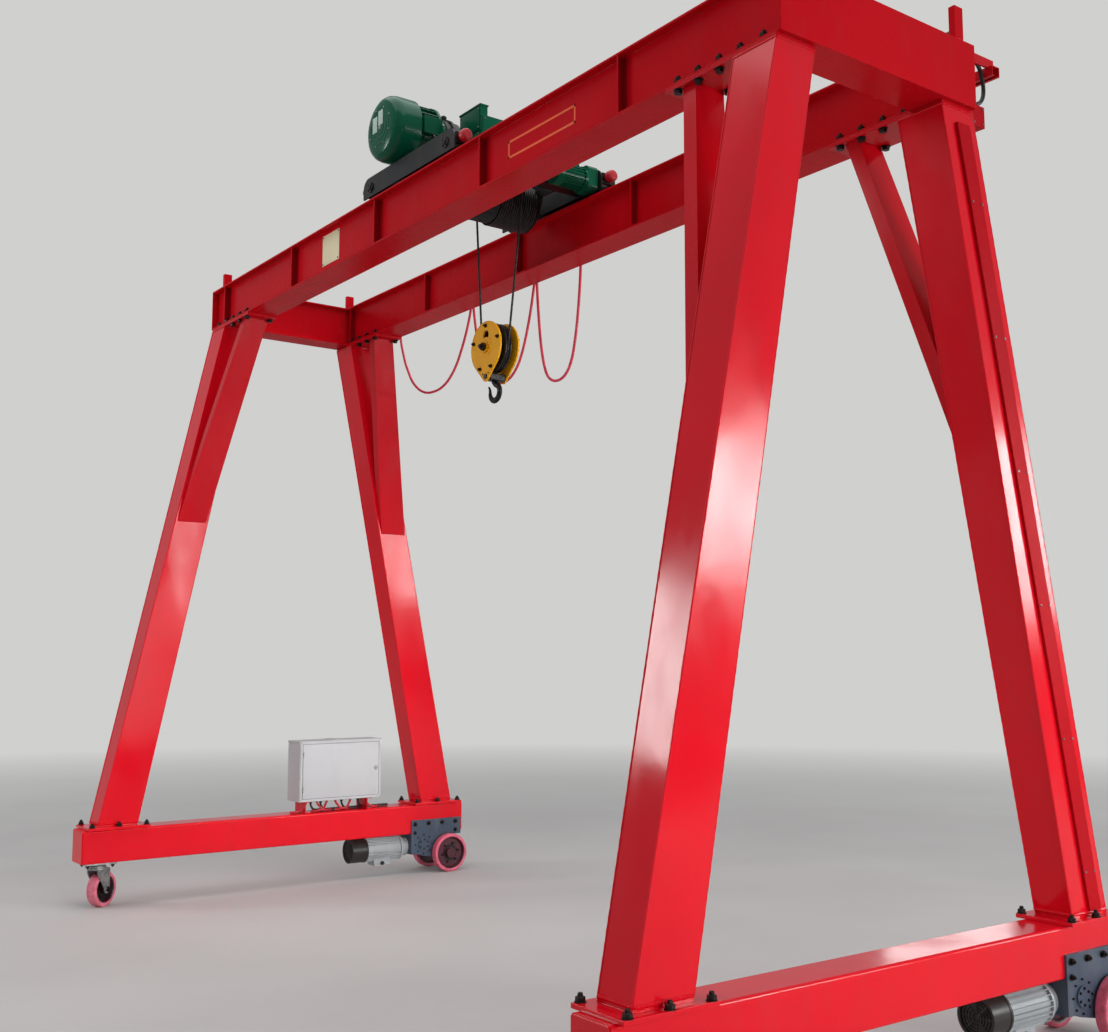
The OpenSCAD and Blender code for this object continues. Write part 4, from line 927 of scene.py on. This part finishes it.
# Hook block
CHEEK = 0.058  # from the block's middle to a cheek's face
bm = bmesh.new()
for e in (-1, 1):
    face, axis = BLOCK.y + e * CHEEK, (0, e, 0)
    for x, z in ((-0.110, 3.057), (0.110, 3.057), (-0.050, 2.914), (0.050, 2.914), (0, 3.134)):
        nut(bm, point_at((BLOCK.x + x, face, z), axis, x * 30), 0.015, 0.009)
    nut(bm, point_at((BLOCK.x, face + e * 0.010, BLOCK.z), axis, 0.3), 0.036, 0.022, False)
    for x in (-0.025, 0.025):
        screw(bm, point_at((BLOCK.x + x, face, 2.884), axis), 0.007)
made("block_bolts", bm, "hook_block", bolt_steel)
bm = bmesh.new()
for e in (-1, 1):
    face = BLOCK.y + e * CHEEK
    lathe(bm, point_at((BLOCK.x, face, BLOCK.z), (0, e, 0)),
          [(0.034, -0.0005), (0.052, -0.0005), (0.050, 0.003), (0.034, 0.003), (0.034, -0.0005)], 48)
    outline = belt_points((BLOCK.x, BLOCK.z), 0.1335, (BLOCK.x, 2.869), 0.0245, face, 96)
    tube(bm, outline + outline[:1], 0.0022, 8)
made("block_rims", bm, "hook_block", yellow)

# Festoon
BRACKET_Y, BRACKET_Z = 0.655, 3.6555
bm = bmesh.new()
for x in (-2.2, -1.1, 0, 1.1, 2.2, 2.449):
    for y in (0.672, 0.688):
        screw(bm, point_at((x, y, 3.700), DOWN), 0.006)
for x in (-2.208, -2.192):
    screw(bm, point_at((x, BRACKET_Y, BRACKET_Z), FRONT), 0.007)
made("festoon_screws", bm, "frame", bolt_steel)
for name, middle in (("carrier_1", -1.285), ("carrier_2", -0.605)):
    bm = bmesh.new()
    for x in (middle - 0.013, middle + 0.013):
        nut(bm, point_at((x, BRACKET_Y, BRACKET_Z), FRONT, 0.2), 0.008, 0, False)
        lathe(bm, point_at((x, 0.705, BRACKET_Z), BACK), solid((0.006, 0), (0.006, 0.003)), 12)
    for e in (-1, 1):
        lathe(bm, point_at((middle, FESTOON_Y + e * 0.014, 3.7133), (0, e, 0)),
              solid((0.005, 0), (0.005, 0.0025)), 6)
    made(f"{name}_nuts", bm, name, bolt_steel)

# Cabinet
bm = bmesh.new()
for (y0, z0), (y1, z1) in border((0.076, 0.540), (0.625, 0.887), 0.003):
    slab(bm, (DOOR_X - 0.001, y0, z0), (DOOR_X + 0.0008, y1, z1), 0.0003)
made("cabinet_seal", bm, "frame", seal_grey)
bm = bmesh.new()
slab(bm, (DOOR_X - 0.002, 0.0805, 0.5445), (DOOR_X + 0.003, 0.6205, 0.8825), 0.0018)
slab(bm, (DOOR_X - 0.180, 0.320, 0.903), (DOOR_X - 0.060, 0.380, 0.9075), 0.001)
made("cabinet_door", bm, "frame", white)
bm = bmesh.new()
for z in (0.582, 0.802):
    lathe(bm, point_at((DOOR_X + 0.004, 0.083, z)), solid((0.0055, 0), (0.0055, 0.036)), 16)
lathe(bm, point_at((DOOR_X + 0.002, 0.600, 0.715), RIGHT),
      solid((0.014, 0), (0.014, 0.003), (0.011, 0.005), (0.011, 0.010), (0.009, 0.012)), 28)
slab(bm, (DOOR_X + 0.011, 0.597, 0.704), (DOOR_X + 0.018, 0.603, 0.726))
for y in (0.068, 0.633):
    for z in (0.535, 0.892):
        screw(bm, point_at((DOOR_X - 0.0002, y, z), RIGHT), 0.006)
made("cabinet_hardware", bm, "frame", zinc)

LEAD_TOP, LEAD_LOW = 0.523, BEAM_TOP + 0.0075  # where the leads leave, and where they lie
bm = bmesh.new()
for y in (0.180, 0.250, 0.400, 0.520):
    lathe(bm, point_at((-2.390, y, LEAD_TOP), DOWN),
          solid((0.013, -0.003), (0.013, 0.004), (0.010, 0.006), (0.010, 0.016), (0.0075, 0.020)), 12)
    tube(bm, smooth_path([(-2.390, y, 0.506), (-2.390, y + 0.004, 0.486), (-2.400, y + 0.03, 0.4625),
                          (-2.420, y + 0.10, LEAD_LOW)], 8), 0.0065, 10)
tube(bm, smooth_path([(-2.420, 0.300, LEAD_LOW), (-2.424, 0.450, LEAD_LOW),
                      (-2.424, 0.600, LEAD_LOW), (-2.424, 0.760, LEAD_LOW)], 6), 0.0068, 10)
made("cabinet_leads", bm, "frame", rubber_black)
bm = bmesh.new()
for i, y in enumerate((0.140, 0.215, 0.285, 0.345, 0.455, 0.555)):
    lathe(bm, point_at((-2.370, y, LEAD_TOP), DOWN),
          solid((0.011, -0.003), (0.011, 0.004), (0.008, 0.012)), 12)
    lean = 0.03 if i % 2 else -0.035
    tube(bm, smooth_path([(-2.370, y, 0.512), (-2.366, y + lean * 0.3, 0.494),
                          (-2.352, y + lean, 0.469), (-2.356, y + lean * 2.2, LEAD_LOW + 0.001),
                          (-2.370, y + lean * 3.2, LEAD_LOW)], 8), 0.0075, 10)
made("cabinet_leads_red", bm, "frame", buffer_red)

# Cable duct and junction box
bm = bmesh.new()
for share in (0.05, 0.22, 0.39, 0.56, 0.73, 0.90):
    edge = leg_edge(0.486 + (3.449 - 0.486) * share, True, True)
    for y in (-0.114, -0.058):
        screw(bm, point_at(edge + Vector((0.012, y, 0)), RIGHT), 0.008)
for y in (0.550, 0.605):
    for z in (3.486, 3.547):
        screw(bm, point_at((2.464, y, z), RIGHT), 0.007)
made("duct_screws", bm, "frame", zinc)
bm = bmesh.new()
lathe(bm, point_at((SUPPLY_X, 0.600, 3.559)),
      solid((0.013, -0.002), (0.013, 0.004), (0.010, 0.006)), 12)
made("entry_gland", bm, "frame", cowl_black)

# Floor, which fades into the backdrop far away, and the light
BACKDROP = linear((208, 208, 206))
f = Nodes("floor")
f.link(f.mix(f.span(f.noise(0.6, 5), 0.3, 0.7), linear((204, 201, 198)), linear((194, 191, 188))),
       f.shader.inputs["Base Color"])
f.set(rough=0.7, specular=0.3)
far = f.add("ShaderNodeVectorMath", operation="LENGTH")
f.link(f.place, far.inputs[0])
seen_far = f.sums("MULTIPLY", f.span(far.outputs["Value"], 5.5, 15.0),
                  f.add("ShaderNodeLightPath").outputs["Is Camera Ray"])
haze = f.add("ShaderNodeEmission")
haze.inputs["Color"].default_value = BACKDROP
blend = f.add("ShaderNodeMixShader")
f.feed(zip(blend.inputs, (seen_far, f.shader.outputs[0], haze.outputs[0])))
f.link(blend.outputs[0], f.tree.nodes["Material Output"].inputs["Surface"])
bm = bmesh.new()
bmesh.ops.create_circle(bm, cap_ends=True, radius=60, segments=96)
floor = made("floor", bm, None, f.material)
floor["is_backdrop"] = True

world = bpy.data.worlds.new("studio")
scene.world = world
world.use_nodes = True
tree = world.node_tree
background = tree.nodes["Background"]
background.inputs["Strength"].default_value = 0.40
background.inputs["Color"].default_value = (0.92, 0.95, 1.0, 1)
seen = tree.nodes.new("ShaderNodeBackground")
seen.inputs["Color"].default_value = BACKDROP
rays = tree.nodes.new("ShaderNodeLightPath")
choose = tree.nodes.new("ShaderNodeMixShader")
tree.links.new(rays.outputs["Is Camera Ray"], choose.inputs[0])
tree.links.new(background.outputs[0], choose.inputs[1])
tree.links.new(seen.outputs[0], choose.inputs[2])
tree.links.new(choose.outputs[0], tree.nodes["World Output"].inputs["Surface"])


def lamp(name, place, aim, width, height, power, spread=180):
    """A soft panel of light, which the camera doesn't see."""
    data = bpy.data.lights.new(name, "AREA")
    data.shape = "RECTANGLE"
    data.size, data.size_y, data.energy, data.spread = width, height, power, math.radians(spread)
    light = bpy.data.objects.new(name, data)
    scene.collection.objects.link(light)
    light.location = place
    light.rotation_euler = (Vector(aim) - Vector(place)).to_track_quat("-Z", "Y").to_euler()
    light.visible_camera = False


# The windows stand where the photograph's reflections in the paint come from
lamp("roof", (0.5, -0.5, 8.5), (0, 0, 0), 9, 7, 340)
lamp("window_right", (9.0, 5.65, 3.05), (2.4, -0.8, 1.9), 1.4, 1.35, 180)
lamp("window_mid", (9.0, 3.30, 2.50), (-2.4, -0.8, 1.9), 0.9, 1.8, 56)
lamp("window_far", (9.0, 7.35, 2.75), (-2.4, 0.8, 2.0), 1.0, 1.5, 80)
lamp("window_back", (9.0, 10.4, 3.1), (2.4, 0.7, 2.0), 1.2, 2.2, 150)
lamp("window_behind", (-3.4, 8.0, 2.4), (2.4, 0.3, 0.48), 1.3, 1.0, 8)
lamp("window_left", (-6.3, -8.0, 4.45), (2.4, -1.0, 1.5), 1.7, 2.0, 190)
lamp("low_near", (8.6, -0.2, 1.4), (-2.4, 0.0, 0.9), 2.0, 1.6, 14, 40)
lamp("low_far", (1.5, -0.3, 1.3), (-2.4, 0.0, 1.0), 2.6, 1.4, 8, 70)

low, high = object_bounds()
